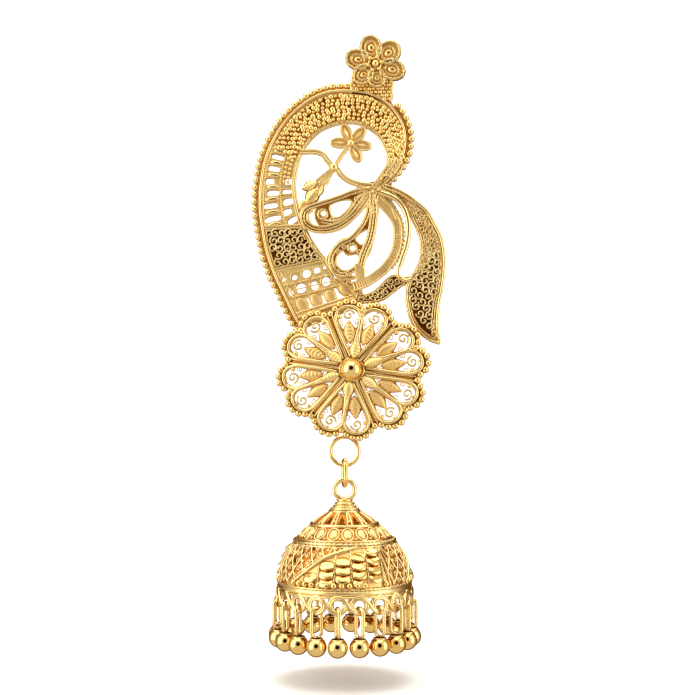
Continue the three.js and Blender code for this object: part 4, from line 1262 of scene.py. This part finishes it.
def rosetteFloor():
    # The floor has one skin in front and one behind, cut through round each scroll and beside each leaf.
    around, outward = 240, 26
    openings = []
    for angle in lobeAngles:
        half = [(6.0, 0.86), (6.8, 1.24), (7.6, 1.44), (8.4, 1.32), (8.98, 0.8), (9.15, 0.0)]
        half = half + [(r, -a) for r, a in half[-2::-1]] + [(6.5, -0.55), (7.1, -0.22), (7.1, 0.22), (6.5,
            0.55)]
        openings.append([lobeSpot(angle, r, a) for r, a in half])
        openings.append([lobeSpot(angle, r, a) for r, a in ((2.9, -0.12), (3.8, -0.5), (4.45, -0.3), (4.45,
            0.3), (3.8, 0.5), (2.9, 0.12))])
    shape = [polar(rimReach(360 * i / around) + 0.1, 360 * i / around) for i in range(around)]
    # The floor is darkened with painted shade of the ground between the wires.
    flatFloor = cutPlate([shape, *openings], 0.0, rosette["floorDepth"], 0.08, paintedShadeFieldGold)
    body = bmesh.new()
    body.from_mesh(flatFloor)
    # Long faces are cut along rings and spokes first, so that the dome stays round.
    for k in range(1, outward):
        x, z = 0.4 * (k - outward / 2) * 2, 0
        for normal, place in (((1, 0, 0), (x, 0, 0)), ((0, 0, 1), (0, 0, x))):
            bmesh.ops.bisect_plane(body, geom=body.verts[:] + body.edges[:] + body.faces[:],
                plane_co=metres(*place),
                                   plane_no=normal)
    for vert in body.verts:
        x, y, z = vert.co / scaleToMetres
        vert.co = metres(*rosettePlace(x, z, -y))
    bmesh.ops.recalc_face_normals(body, faces=body.faces)
    body.to_mesh(flatFloor)
    body.free()
    return flatFloor


def lobeSpot(angle, outward, aside):
    along = Vector(polar(1, angle))
    return (along.x * outward - along.y * aside, along.y * outward + along.x * aside)


def makeRosette():
    floor = rosette["floorDepth"]
    meshes = [rosetteFloor()]
    tear = [(2.0, 0.0), (3.4, -0.5), (5.2, -1.08), (6.6, -1.52), (7.8, -1.7), (8.7, -1.42), (9.25, -0.74),
        (9.4, 0.0)]
    tear += [(r, -a) for r, a in tear[-2::-1]]
    inner = [(r - 0.22 if r > 8 else r, a * 0.84) for r, a in tear[1:-1]]
    meshes.append(wires([lobeLine(a, tear, floor + 0.3) for a in lobeAngles], 0.22))
    meshes.append(fineWires([lobeLine(a, inner, floor + 0.08) for a in lobeAngles], 0.1))
    for i, angle in enumerate(lobeAngles):
        meshes.append(leafMesh(polar(5.55, angle), 3.7, 1.7, angle, floor, 0.42, pressedGold,
            ribs=0 if i % 3 == 1 else 7,
                               pose=rosettePlace))
    # A scroll of pale wire at the outer end of each lobe, with a stem that parts round it.
    curls, pips = [], []
    for i, angle in enumerate(lobeAngles):
        curls.append({"at": rosettePlace(*polar(8.1, angle), floor + 0.1),
            "turn": angle + (40 if i % 2 else 220)})
        for r, a in ((7.15, 0.0), (9.0, 0.0)):
            pips.append({"at": rosettePlace(*lobeSpot(angle, r, a), floor + 0.06), "size": 0.9})
        for a in (-1.12, 1.12):
            curls.append({"at": rosettePlace(*lobeSpot(angle, 6.95, a), floor + 0.02),
                "turn": angle - 60 * a, "size": 0.5})
    meshes.append(scrolls(curls, winds=1.35, heart=0.14, reach=0.84, wire=0.17))
    meshes.append(looseGrains(pips, 0.22))
    # Small grains inside each teardrop, beside its leaf.
    beads = [lobeLine(angle, [(3.3, side * 0.14), (4.6, side * 0.5), (5.6, side * 0.8)], floor + 0.14)
             for angle in lobeAngles for side in (-1, 1)]
    meshes.append(grainRows(beads, 0.12, 0.27, grainGold))
    # A pair of ribs between each two petals, and another down each petal.
    ribs = []
    for i in range(6):
        between = rosette["firstPetal"] + 30 + 60 * i
        ribs += [lobeLine(between, [(1.7, a * 0.5), (4.5, a), (7.0, a * 1.3), (8.5, a * 1.8)], floor + 0.14)
                 for a in (-0.2, 0.2)]
        petal = rosette["firstPetal"] + 60 * i
        ribs += [lobeLine(petal, [(4.0, a), (6.4, a), (8.0, a * 1.4), (9.0, a * 2.4)],
            floor + 0.14) for a in (-0.16, 0.16)]
    meshes.append(fineWires(ribs, 0.13))
    addPiece("rosette_lobes", meshes, "plate", ["rosette", "rosette_leaves"])

    # Grains round the scalloped rim, some doubled at the notches, on a dark wire that follows it: painted
    # shade in the gap under the grains.
    rim = [rosettePlace(*polar(rimReach(i), i), 0.6) for i in range(360)]
    seat = [rosettePlace(*polar(rimReach(i) - 0.48, i), floor - 0.06) for i in range(0, 360, 2)]
    spare = []
    for i in range(6):
        between = rosette["firstPetal"] + 30 + 60 * i
        spare += [{"at": rosettePlace(*lobeSpot(between, 7.9, a), floor + 0.1)} for a in (-1.15, 1.15)]
        spare.append({"at": rosettePlace(*polar(8.75, rosette["firstPetal"] + 60 * i), floor + 0.1),
            "size": 0.8})
    grains = [grainRows([rim], rosette["grainRadius"], rosette["grainPitch"], grainGold, closed=True,
        detail=3),
              looseGrains(spare, 0.36),
              fineWires([seat], 0.16, paintedShadeGold, closed=True)]
    addPiece("rosette_grains", grains, "plate")

    # The polished ball and the six short leaves under it.
    meshes = []
    for i in range(6):
        angle = rosette["firstPetal"] + 60 * i
        meshes.append(leafMesh(polar(3.0, angle), 3.0, 1.65, angle, floor + 0.2, 0.6, castGold, ribs=7,
            pose=rosettePlace))
    ball = ballRows(rosette["ballRadius"], rosettePlace(0, 0, 1.45))
    meshes.append(closeMesh(gridMesh(ball, mirrorGold, closedAcross=True)))
    collar = [rosettePlace(*polar(1.62, 10 * k), 0.95) for k in range(36)]
    meshes.append(ropes([collar], 0.2, 0.5, closed=True))
    addPiece("rosette_ball", meshes, "plate", ["rosette_boss"])


makeRosette()

# Ring, link and bell

hang = {
    "axis": (-4.3, -1.0),
    "ring": {"centre": -54.1, "radius": 1.98, "wire": 0.28},
    "link": {"top": -55.37, "bottom": -58.85, "halfWidth": 1.1, "wire": 0.34, "turn": 14},
    "loop": {"centre": -59.45, "radius": 1.4, "wire": 0.35},
}


def ringRoute(radius, stretch=0.0, count=48):
    # A ring in the x-z plane about (0, 0), drawn out to an oval by its two ends.
    points = []
    for i in range(count):
        x, z = polar(radius, 360 * (i + 0.5) / count)
        points.append((x, 0.0, z + math.copysign(stretch, z)))
    return points


def hungAt(points, height, bearing=0.0, radius=0.0):
    # Points about (0, 0) turned by a bearing about the hanging axis, then moved out and up.
    c, s = math.cos(math.radians(bearing)), math.sin(math.radians(bearing))
    ax, ay = hang["axis"]
    return [(ax + (x + radius) * c - y * s, ay + (x + radius) * s + y * c, height + z) for x, y, z in points]


def makeRingAndLink():
    ring, link = hang["ring"], hang["link"]
    meshes = [wires([hungAt(ringRoute(ring["radius"]), ring["centre"])], ring["wire"], mirrorGold,
        closed=True, sides=14)]
    addPiece("jump_ring_wire", meshes, "plate", ["jump_ring"])
    stretch = (link["top"] - link["bottom"]) / 2 - link["halfWidth"]
    oval = hungAt(ringRoute(link["halfWidth"], stretch), (link["top"] + link["bottom"]) / 2,
        90 + link["turn"])
    meshes = [wires([oval], link["wire"], mirrorGold, closed=True, sides=14)]
    addPiece("link_wire", meshes, "link", ["link"])


makeRingAndLink()

bell = {
    "profile": [
        (1.3, -61.9), (1.8, -62.27), (3.2, -63.1), (4.3, -63.95), (5.75, -65.25), (6.75, -66.25), (7.8,
            -67.7),
        (8.45, -69.0), (8.85, -70.4), (9.05, -71.8), (9.1, -72.75),
    ],
    "wall": 0.5,
    "around": 120,
    "openings": 12,
    "openingTop": -62.95,
    "openingBottom": -63.85,
    "wireRing": -64.15,
    "ropeRing": -66.2,
    "baseRing": -72.0,
    "petals": 18,
    "panels": 3,
}


def bellRadius(z):
    profile = bell["profile"]
    for (ra, za), (rb, zb) in zip(profile, profile[1:]):
        if z >= zb:
            return ra + (rb - ra) * (z - za) / (zb - za)
    return profile[-1][0]


def bellSmoothRadius(z):
    # The profile with its corners rounded off.
    return sum(bellRadius(z + d) for d in (-0.5, -0.25, 0, 0.25, 0.5)) / 5


def bellPlace(bearing, z, lift=0.0):
    # Bearing 0 is the front of the bell, and it grows to the right.
    r = bellSmoothRadius(z) + lift
    a = math.radians(bearing - 90)
    return (hang["axis"][0] + r * math.cos(a), hang["axis"][1] + r * math.sin(a), z)


def bellFacing(bearing, z):
    a = math.radians(bearing - 90)
    fall = (bellSmoothRadius(z - 0.2) - bellSmoothRadius(z + 0.2)) / 0.4
    return Vector((math.cos(a), math.sin(a), fall)).normalized()


def bellLine(start, end, lift, count=24, bend=0.0):
    # A wire on the dome from one (bearing, z) to another.
    points = []
    for i in range(count + 1):
        t = i / count
        z = start[1] + (end[1] - start[1]) * t
        points.append(bellPlace(start[0] + (end[0] - start[0]) * t + bend * math.sin(math.pi * t), z, lift))
    return points


def bellCircle(z, lift, count=144):
    return [bellPlace(360 * i / count, z, lift) for i in range(count)]


def panelEdge(z, side):
    # Bearing of a scale panel's left or right edge, from its middle, at a height.
    t = min(1.0, max(0.0, (z - bell["baseRing"]) / (bell["ropeRing"] - bell["baseRing"])))
    return -50 + 50 * t + 200 * max(0.0, t - 0.6) ** 2 if side < 0 else 48 - 7 * t


def inPanel(bearing, z, margin):
    for k in range(bell["panels"]):
        local = (bearing - 120 * k + 180) % 360 - 180
        if panelEdge(z, -1) + margin < local < panelEdge(z, 1) - margin:
            return True
    return False


def makeDome():
    count = bell["around"]
    heights = [-61.9 - (0.25 * i if i < 12 else 3.0 + 0.45 * (i - 12)) for i in range(30)]
    heights = [z for z in heights if z > -72.4] + [-72.4, -72.85]
    # The dome's ground is darkened with painted shade between the filigree; the faces under the scales take
    # the plain pressed tone.
    mesh = gridMesh([[bellPlace(360 * (k + 0.5) / count, z) for k in range(count)] for z in heights],
        paintedShadeFieldGold,
                    closedAcross=True)
    mesh.materials.append(pressedGold)
    # Openings in the crown, wider towards their feet, and a plain ground under the scales.
    body = bmesh.new()
    body.from_mesh(mesh)
    per = 360 / bell["openings"]
    doomed = []
    for face in body.faces:
        middle = face.calc_center_median() / scaleToMetres
        bearing = math.degrees(math.atan2(middle.y - hang["axis"][1], middle.x - hang["axis"][0]))
        off = abs((bearing + per / 2) % per - per / 2)
        share = (bell["openingTop"] - middle.z) / (bell["openingTop"] - bell["openingBottom"])
        if 0 < share < 1 and off < 1.5 + 5.0 * share:
            doomed.append(face)
        if inPanel(bearing + 90, middle.z, 0.5) and bell["baseRing"] < middle.z < bell["ropeRing"] - 0.4:
            face.material_index = 1
    bmesh.ops.delete(body, geom=doomed, context="FACES")
    bmesh.ops.recalc_face_normals(body, faces=body.faces)
    body.to_mesh(mesh)
    body.free()
    item = bpy.data.objects.new("dome", mesh)
    sceneItems.link(item)
    wall = item.modifiers.new("wall", "SOLIDIFY")
    wall.thickness = bell["wall"] * scaleToMetres
    wall.offset = -1.0
    depsgraph = bpy.context.evaluated_depsgraph_get()
    solid = bpy.data.meshes.new_from_object(item.evaluated_get(depsgraph), depsgraph=depsgraph)
    bpy.data.objects.remove(item)
    meshes = [solid]

    loop = hang["loop"]
    meshes.append(wires([hungAt(ringRoute(loop["radius"]), loop["centre"])], loop["wire"], closed=True,
        sides=14))
    rows = []
    for radius, z in [(0.01, -60.7), (0.9, -60.75), (1.15, -61.2), (1.35, -61.6), (1.9, -62.1), (2.0,
        -62.35), (0.01, -62.4)]:
        rows.append([(hang["axis"][0] + polar(radius, 15 * k)[0], hang["axis"][1] + polar(radius,
            15 * k)[1], z)
                     for k in range(24)])
    meshes.append(closeMesh(gridMesh(rows, castGold, closedAcross=True), capEnds=True))

    # Twisted wires round the cone under the loop.
    cone = [[(hang["axis"][0] + polar(r, 15 * k)[0], hang["axis"][1] + polar(r, 15 * k)[1],
        z) for k in range(24)]
            for r, z in ((0.98, -60.85), (1.24, -61.35), (1.5, -61.75), (1.9, -62.1))]
    meshes.append(ropes(cone, 0.2, 0.45, closed=True))
    rings = [wires([bellCircle(bell["wireRing"], 0.12)], 0.24, closed=True),
             fineWires([bellCircle(-62.4, 0.1), bellCircle(-66.0, 0.1), bellCircle(-66.65, 0.08)], 0.14,
                 closed=True),
             ropes([bellCircle(bell["ropeRing"] - 0.12, 0.18)], 0.27, 0.7, closed=True),
             ropes([bellCircle(bell["baseRing"], 0.14)], 0.25, 0.6, closed=True),
             fineWires([bellCircle(-72.28, 0.12)], 0.13, closed=True)]
    meshes += rings
    band = []
    for z, lift in ((-72.2, 0.0), (-72.24, 0.2), (-72.5, 0.3), (-72.8, 0.24), (-72.9, 0.0)):
        r = 9.1 + lift
        band.append([(hang["axis"][0] + polar(r, 3 * k)[0], hang["axis"][1] + polar(r, 3 * k)[1],
            z) for k in range(120)])
    meshes.append(closeMesh(gridMesh(band, drawnGold, closedAcross=True, closedAlong=True)))

    # Crown ribs, in pairs between the openings.
    ribs = []
    for i in range(bell["openings"]):
        bearing = per * (i + 0.5)
        for side in (-1, 1):
            ribs.append(bellLine((bearing + side * 3, -62.5), (bearing + side * 4.2, -64.0), 0.1, 8))
    meshes.append(fineWires(ribs, 0.15))
    dots = [{"at": bellPlace(per * (i + 0.5), -63.55, 0.12)} for i in range(bell["openings"])]
    meshes.append(looseGrains(dots, 0.22))

    # Pressed petals with a wire round each, between the first ring and the rope.
    petalSpots, rims = [], []
    for i in range(bell["petals"]):
        bearing = 360 * (i + 0.5) / bell["petals"]
        petalSpots.append({"at": bellPlace(bearing, -65.1, 0.05), "facing": bellFacing(bearing, -65.1)})
        rim = []
        for k in range(20):
            u, v = polar(1, 18 * k)
            half = math.degrees(0.78 / bellSmoothRadius(-65.1 + v * 0.6))
            rim.append(bellPlace(bearing + u * half, -65.1 + v * 0.74, 0.12))
        rims.append(rim)
    meshes.append(pressedOvals(petalSpots, castGold, width=0.6, length=0.85, rise=0.26))
    meshes.append(fineWires(rims, 0.12, closed=True))
    between = [{"at": bellPlace(360 * i / bell["petals"], z, 0.08), "size": s}
               for i in range(bell["petals"]) for z, s in ((-65.65, 1.0), (-64.55, 0.7))]
    meshes.append(looseGrains(between, 0.2))
    addPiece("bell_dome", meshes, "bell", ["bell"])


def makeBellOrnament():
    # Diagonal wires that bound the scale panels.
    edges, fine = {-1: [], 1: []}, []
    for k in range(bell["panels"]):
        for side in (-1, 1):
            route = []
            for i in range(25):
                z = bell["baseRing"] + 0.2 + (bell["ropeRing"] - 0.6 - bell["baseRing"]) * i / 24
                route.append((120 * k + panelEdge(z, side), z))
            edges[side].append([bellPlace(b, z, 0.16) for b, z in route])
            fine.append([bellPlace(b + side * 4.5, z, 0.08) for b, z in route])
    meshes = [wires(edges[-1], 0.24), wires(edges[1], 0.15), fineWires(fine, 0.12)]

    # Crossing wires make lozenges over the rest of the dome, with a curl and grains in each, and dark ovals
    # among them: painted shade standing in for holes that show the dark inside.
    nets, curls, grains, paintedShadeMarks = [], [], [], []
    for i in range(27):
        for side in (-1, 1):
            line = []
            for k in range(25):
                z = -71.6 + 5.1 * k / 24
                bearing = 360 * i / 27 + side * 20 * k / 24
                if inPanel(bearing, z, 1):
                    if len(line) > 2:
                        nets.append(line)
                    line = []
                else:
                    line.append(bellPlace(bearing, z, 0.08))
            if len(line) > 2:
                nets.append(line)
    meshes.append(fineWires(nets, 0.13))
    for row in range(6):
        z = -71.3 + row * 0.9
        count = 27
        for i in range(2 * count):
            bearing = 180 * i / count + 3.3 * row
            if inPanel(bearing, z, -5):
                continue
            spot = {"at": bellPlace(bearing, z, 0.06), "facing": bellFacing(bearing, z),
                "turn": 90 * ((i + row) % 4) + 25}
            (curls if (i + row) % 2 else grains if (i + 2 * row) % 3 else paintedShadeMarks).append(spot)
    meshes.append(scrolls(curls, winds=1.3, heart=0.1, reach=0.42, wire=0.1))
    meshes.append(looseGrains(grains, 0.24))
    meshes.append(pressedOvals(paintedShadeMarks, paintedShadeGold, width=0.36, length=0.42, rise=0.06))
    addPiece("bell_filigree", meshes, "bell")

    # Overlapping polished scales in the panels, and a row of balls at their feet.
    scales, balls = [], []
    for k in range(bell["panels"]):
        for column in range(-3, 4):
            for row in range(6):
                z = -70.5 + row * 1.1 - (0.55 if column % 2 else 0.0)
                bearing = column * 14.7 + 4.3
                inside = panelEdge(z + 0.2, -1) + 1.5 < bearing < panelEdge(z, 1) - 2
                if not -71.1 < z < bell["ropeRing"] - 0.8 or not inside:
                    continue
                facing = (bellFacing(120 * k + bearing, z) + Vector((0, 0, 0.55))).normalized()
                scales.append({"at": bellPlace(120 * k + bearing, z, 0.22), "facing": facing})
        for i in range(14):
            bearing = -43 + i * 6.6
            if bearing < panelEdge(-71.5, 1) - 2 and abs(bearing - 33.7) > 6:
                balls.append({"at": bellPlace(120 * k + bearing, -71.45, 0.2)})
    # A twisted wire up between each two columns of scales.
    lines = []
    for k in range(bell["panels"]):
        for column in range(-3, 4):
            bearing = (column + 0.5) * 14.7 + 4.3
            heights = [z for z in (-71.1 + 0.25 * i for i in range(18)) if panelEdge(z, -1) + 3 < bearing]
            if len(heights) > 2 and bearing < 42:
                lines.append([bellPlace(120 * k + bearing, z, 0.1) for z in heights])
    meshes = [
        ropes(lines, 0.2, 0.5),
        pressedOvals(scales, mirrorGold, width=1.1, length=0.86, rise=0.16),
        looseGrains(balls, 0.47, mirrorGold),
    ]
    addPiece("bell_scales", meshes, "bell")


makeDome()
makeBellOrnament()

# The gallery of eyelets and the drops

gallery = {
    "count": 20,
    "radius": 9.3,
    "height": -74.07,
    "swing": 1.0,
    "lane": 0.17,           # from the middle of a pair of wires to each of the two
    "wire": 0.23,
    "ringRadii": (0.86, 1.14),
    "ringWire": 0.22,
}
# The last entry is how far down from its top each ball's dark cap reaches, in degrees; the cap is a painted
# reflection.
drop = {"top": -74.38, "bottom": -78.35, "halfWidth": 0.74, "wire": 0.26, "ballHeight": -79.6,
    "ballRadius": 1.37,
        "reflectionCapAngle": 37}


def galleryPoint(bearing, z, lift=0.0):
    a = math.radians(bearing)
    r = gallery["radius"] + lift
    return (hang["axis"][0] + r * math.cos(a), hang["axis"][1] + r * math.sin(a), z)


def makeGallery():
    # Two pairs of wires run round in waves, one pair over and one under each eyelet in turn.
    waves = []
    for side in (-1, 1):
        for lane in (-1, 1):
            wave = []
            for i in range(400):
                bearing = 360 * i / 400
                phase = math.cos(math.radians(bearing * gallery["count"] / 2))
                swing = gallery["swing"] + lane * gallery["lane"] * side * math.copysign(1,
                    phase) * abs(phase) ** 0.5
                z = gallery["height"] + side * swing * math.copysign(abs(phase) ** 0.8, phase)
                weave = 0.13 * side * math.sin(math.radians(bearing * gallery["count"] / 2))
                wave.append(galleryPoint(bearing, z, weave))
            waves.append(wave)
    rings = []
    for i in range(gallery["count"]):
        middle = 360 * i / gallery["count"]
        for radius in gallery["ringRadii"]:
            ring = []
            for k in range(24):
                u, v = polar(radius, 15 * k)
                ring.append(galleryPoint(middle + math.degrees(u / gallery["radius"]), gallery["height"] + v))
            rings.append(ring)
    top = [galleryPoint(3 * k, -73.0) for k in range(120)]
    meshes = [
        wires(waves, gallery["wire"], closed=True),
        wires(rings, gallery["ringWire"], closed=True),
        wires([top], 0.16, closed=True),
    ]
    addPiece("gallery_wires", meshes, "bell", ["gallery"])


def makeDrops():
    rng = random.Random(4)
    stretch = (drop["top"] - drop["bottom"]) / 2 - drop["halfWidth"]
    middle = (drop["top"] + drop["bottom"]) / 2
    names, meshes, ovals, paintedShadeMarks, paintedReflectionCaps = [], [], [], [], []
    for i in range(gallery["count"]):
        bearing = 360 * i / gallery["count"]
        yaw = math.radians(rng.uniform(18, 50) * rng.choice((-1, 1)))
        oval = [(x * math.cos(yaw), x * math.sin(yaw), z) for x, y, z in ringRoute(drop["halfWidth"],
            stretch, 32)]
        ovals.append(hungAt(oval, middle, bearing, gallery["radius"]))
        place = hungAt([(0, 0, 0)], drop["ballHeight"], bearing, gallery["radius"])[0]
        meshes.append(closeMesh(gridMesh(ballRows(drop["ballRadius"], place), mirrorGold, closedAcross=True)))
        # A dark cap on top of each ball, with a fine wire round its edge: a painted reflection of the shaded
        # underside of the bell.
        skin = []
        for k in range(6):
            out, up = polar(drop["ballRadius"] + 0.012 - (0.08 if k == 5 else 0),
                90 - drop["reflectionCapAngle"] * min(k, 4) / 4)
            skin.append([(place[0] + out * polar(1, 18 * q)[0] + 1e-4, place[1] + out * polar(1, 18 * q)[1],
                place[2] + up)
                         for q in range(20)])
        paintedShadeMarks.append(skin[4])
        paintedReflectionCaps.append(closeMesh(gridMesh(skin, paintedShadeGold, closedAcross=True), capEnds=True))
        names.append("drop_%02d" % (i + 1))
    meshes += paintedReflectionCaps
    meshes.append(wires(ovals, drop["wire"], closed=True))
    meshes.append(fineWires(paintedShadeMarks, 0.08, closed=True))
    addPiece("ball_drops", meshes, "bell", names)


makeGallery()
makeDrops()

# The one solid that stays is the hidden post.


def dressNode(name, material):
    mesh = frame["nodes"][name].data
    mesh.materials.clear()
    mesh.materials.append(material)


dressNode("ear_post", drawnGold)

# Floor, lights and world

lamps = {      # wide soft boxes, so that the gold has long pale reflections with dark between them
    "leftSoftbox": {"place": (-420, -240, 60), "size": (420, 620), "power": 1.6},
    "rightSoftbox": {"place": (460, -160, 20), "size": (300, 620), "power": 1.2},
    "topSoftbox": {"place": (-40, -120, 420), "size": (620, 380), "power": 1.35},
    "backSoftbox": {"place": (0, 200, 320), "size": (500, 240), "power": 1.2},
}
room = {
    "glow": 0.8,
    "wall": "#FFFAF0",
    "behind": "#7A5224",                    # the far side, which the edge of every wire and grain mirrors
    "behindFrom": 0.15,                     # cosines to the way back between which it sets in
    "behindTo": 0.65,
    "dark": "#241204",
    "darkWay": (0.05, -0.945, 0.323),       # from the earring to just above the camera
    "darkFrom": 0.895,                      # cosines between which the camera's corner turns dark
    "darkTo": 0.935,
}


def makeStage():
    material = bpy.data.materials.new("whitePaper")
    material.use_nodes = True
    shader = material.node_tree.nodes["Principled BSDF"]
    shader.inputs["Base Color"].default_value = linearFromHex("#F6F5F2")
    shader.inputs["Roughness"].default_value = 0.9
    reach, wall, sweep, floor = (view[k] for k in ("floorReach", "wallDistance", "sweepRadius",
        "floorHeight"))
    profile = [(-reach, floor), (wall - sweep, floor)]
    profile += [(wall - sweep + sweep * math.sin(math.radians(a)),
        floor + sweep * (1 - math.cos(math.radians(a))))
                for a in range(10, 91, 10)]
    profile.append((wall, reach))
    rows = [[(x, y, z) for x in (-reach, reach)] for y, z in profile]
    sheet = bpy.data.objects.new("backdrop", gridMesh(rows, material))
    sceneItems.link(sheet)
    sheet.visible_glossy = False      # the gold mirrors the room and its lamps, not the paper
    # A far white shell stands behind every view, and only the eye meets it.
    white = bpy.data.materials.new("whiteRoom")
    white.use_nodes = True
    white.node_tree.nodes.clear()
    glow = addNode(white.node_tree, "ShaderNodeEmission", {"Color": linearFromHex("#F8F6F2"),
        "Strength": 1.0})
    addNode(white.node_tree, "ShaderNodeOutputMaterial", {}, {"Surface": glow.outputs[0]})
    shell = bpy.data.objects.new("shell", gridMesh(ballRows(view["shellRadius"], (0, 0, 0)), white,
        closedAcross=True))
    sceneItems.link(shell)
    shell.visible_glossy = shell.visible_diffuse = shell.visible_transmission = shell.visible_shadow = False


def addLight(name, place, size, power, tint="#FFFFFF"):
    light = bpy.data.lights.new(name, "AREA")
    light.shape = "RECTANGLE"
    light.size, light.size_y = size[0] * scaleToMetres, size[1] * scaleToMetres
    light.energy = power
    light.color = linearFromHex(tint)[:3]
    item = bpy.data.objects.new(name, light)
    item.location = metres(*place)
    aim = metres(-4, 0, -42) - item.location
    item.rotation_euler = aim.to_track_quat("-Z", "Y").to_euler()
    sceneItems.link(item)


def makeLights():
    for name, lamp in lamps.items():
        addLight(name, lamp["place"], lamp["size"], lamp["power"])
    # The room is warm white in front and dark behind, so that round metal has dark edges, with the dark
    # of the camera's own corner, which a polished ball mirrors.
    world = bpy.data.worlds.new("studio")
    world.use_nodes = True
    tree = world.node_tree
    look = addNode(tree, "ShaderNodeTexCoord").outputs["Generated"]
    tint = None
    for way, start, end, far in (((0, 1, 0), "behindFrom", "behindTo", "behind"),
                                 (room["darkWay"], "darkFrom", "darkTo", "dark")):
        aside = addNode(tree, "ShaderNodeVectorMath", {"operation": "DOT_PRODUCT", 1: way}, {0: look})
        share = addNode(tree, "ShaderNodeMapRange", {1: room[start], 2: room[end]},
            {0: aside.outputs["Value"]})
        tint = addNode(tree, "ShaderNodeMix", {"data_type": "RGBA", 6: linearFromHex(room["wall"]),
                                               7: linearFromHex(room[far])},
                       {0: share.outputs[0], **({6: tint.outputs[2]} if tint else {})})
    back = tree.nodes["Background"]
    back.inputs["Strength"].default_value = room["glow"]
    tree.links.new(tint.outputs[2], back.inputs["Color"])
    bpy.context.scene.world = world
    bpy.context.scene.view_settings.view_transform = "Standard"


makeStage()
makeLights()
print("stage and lights made")
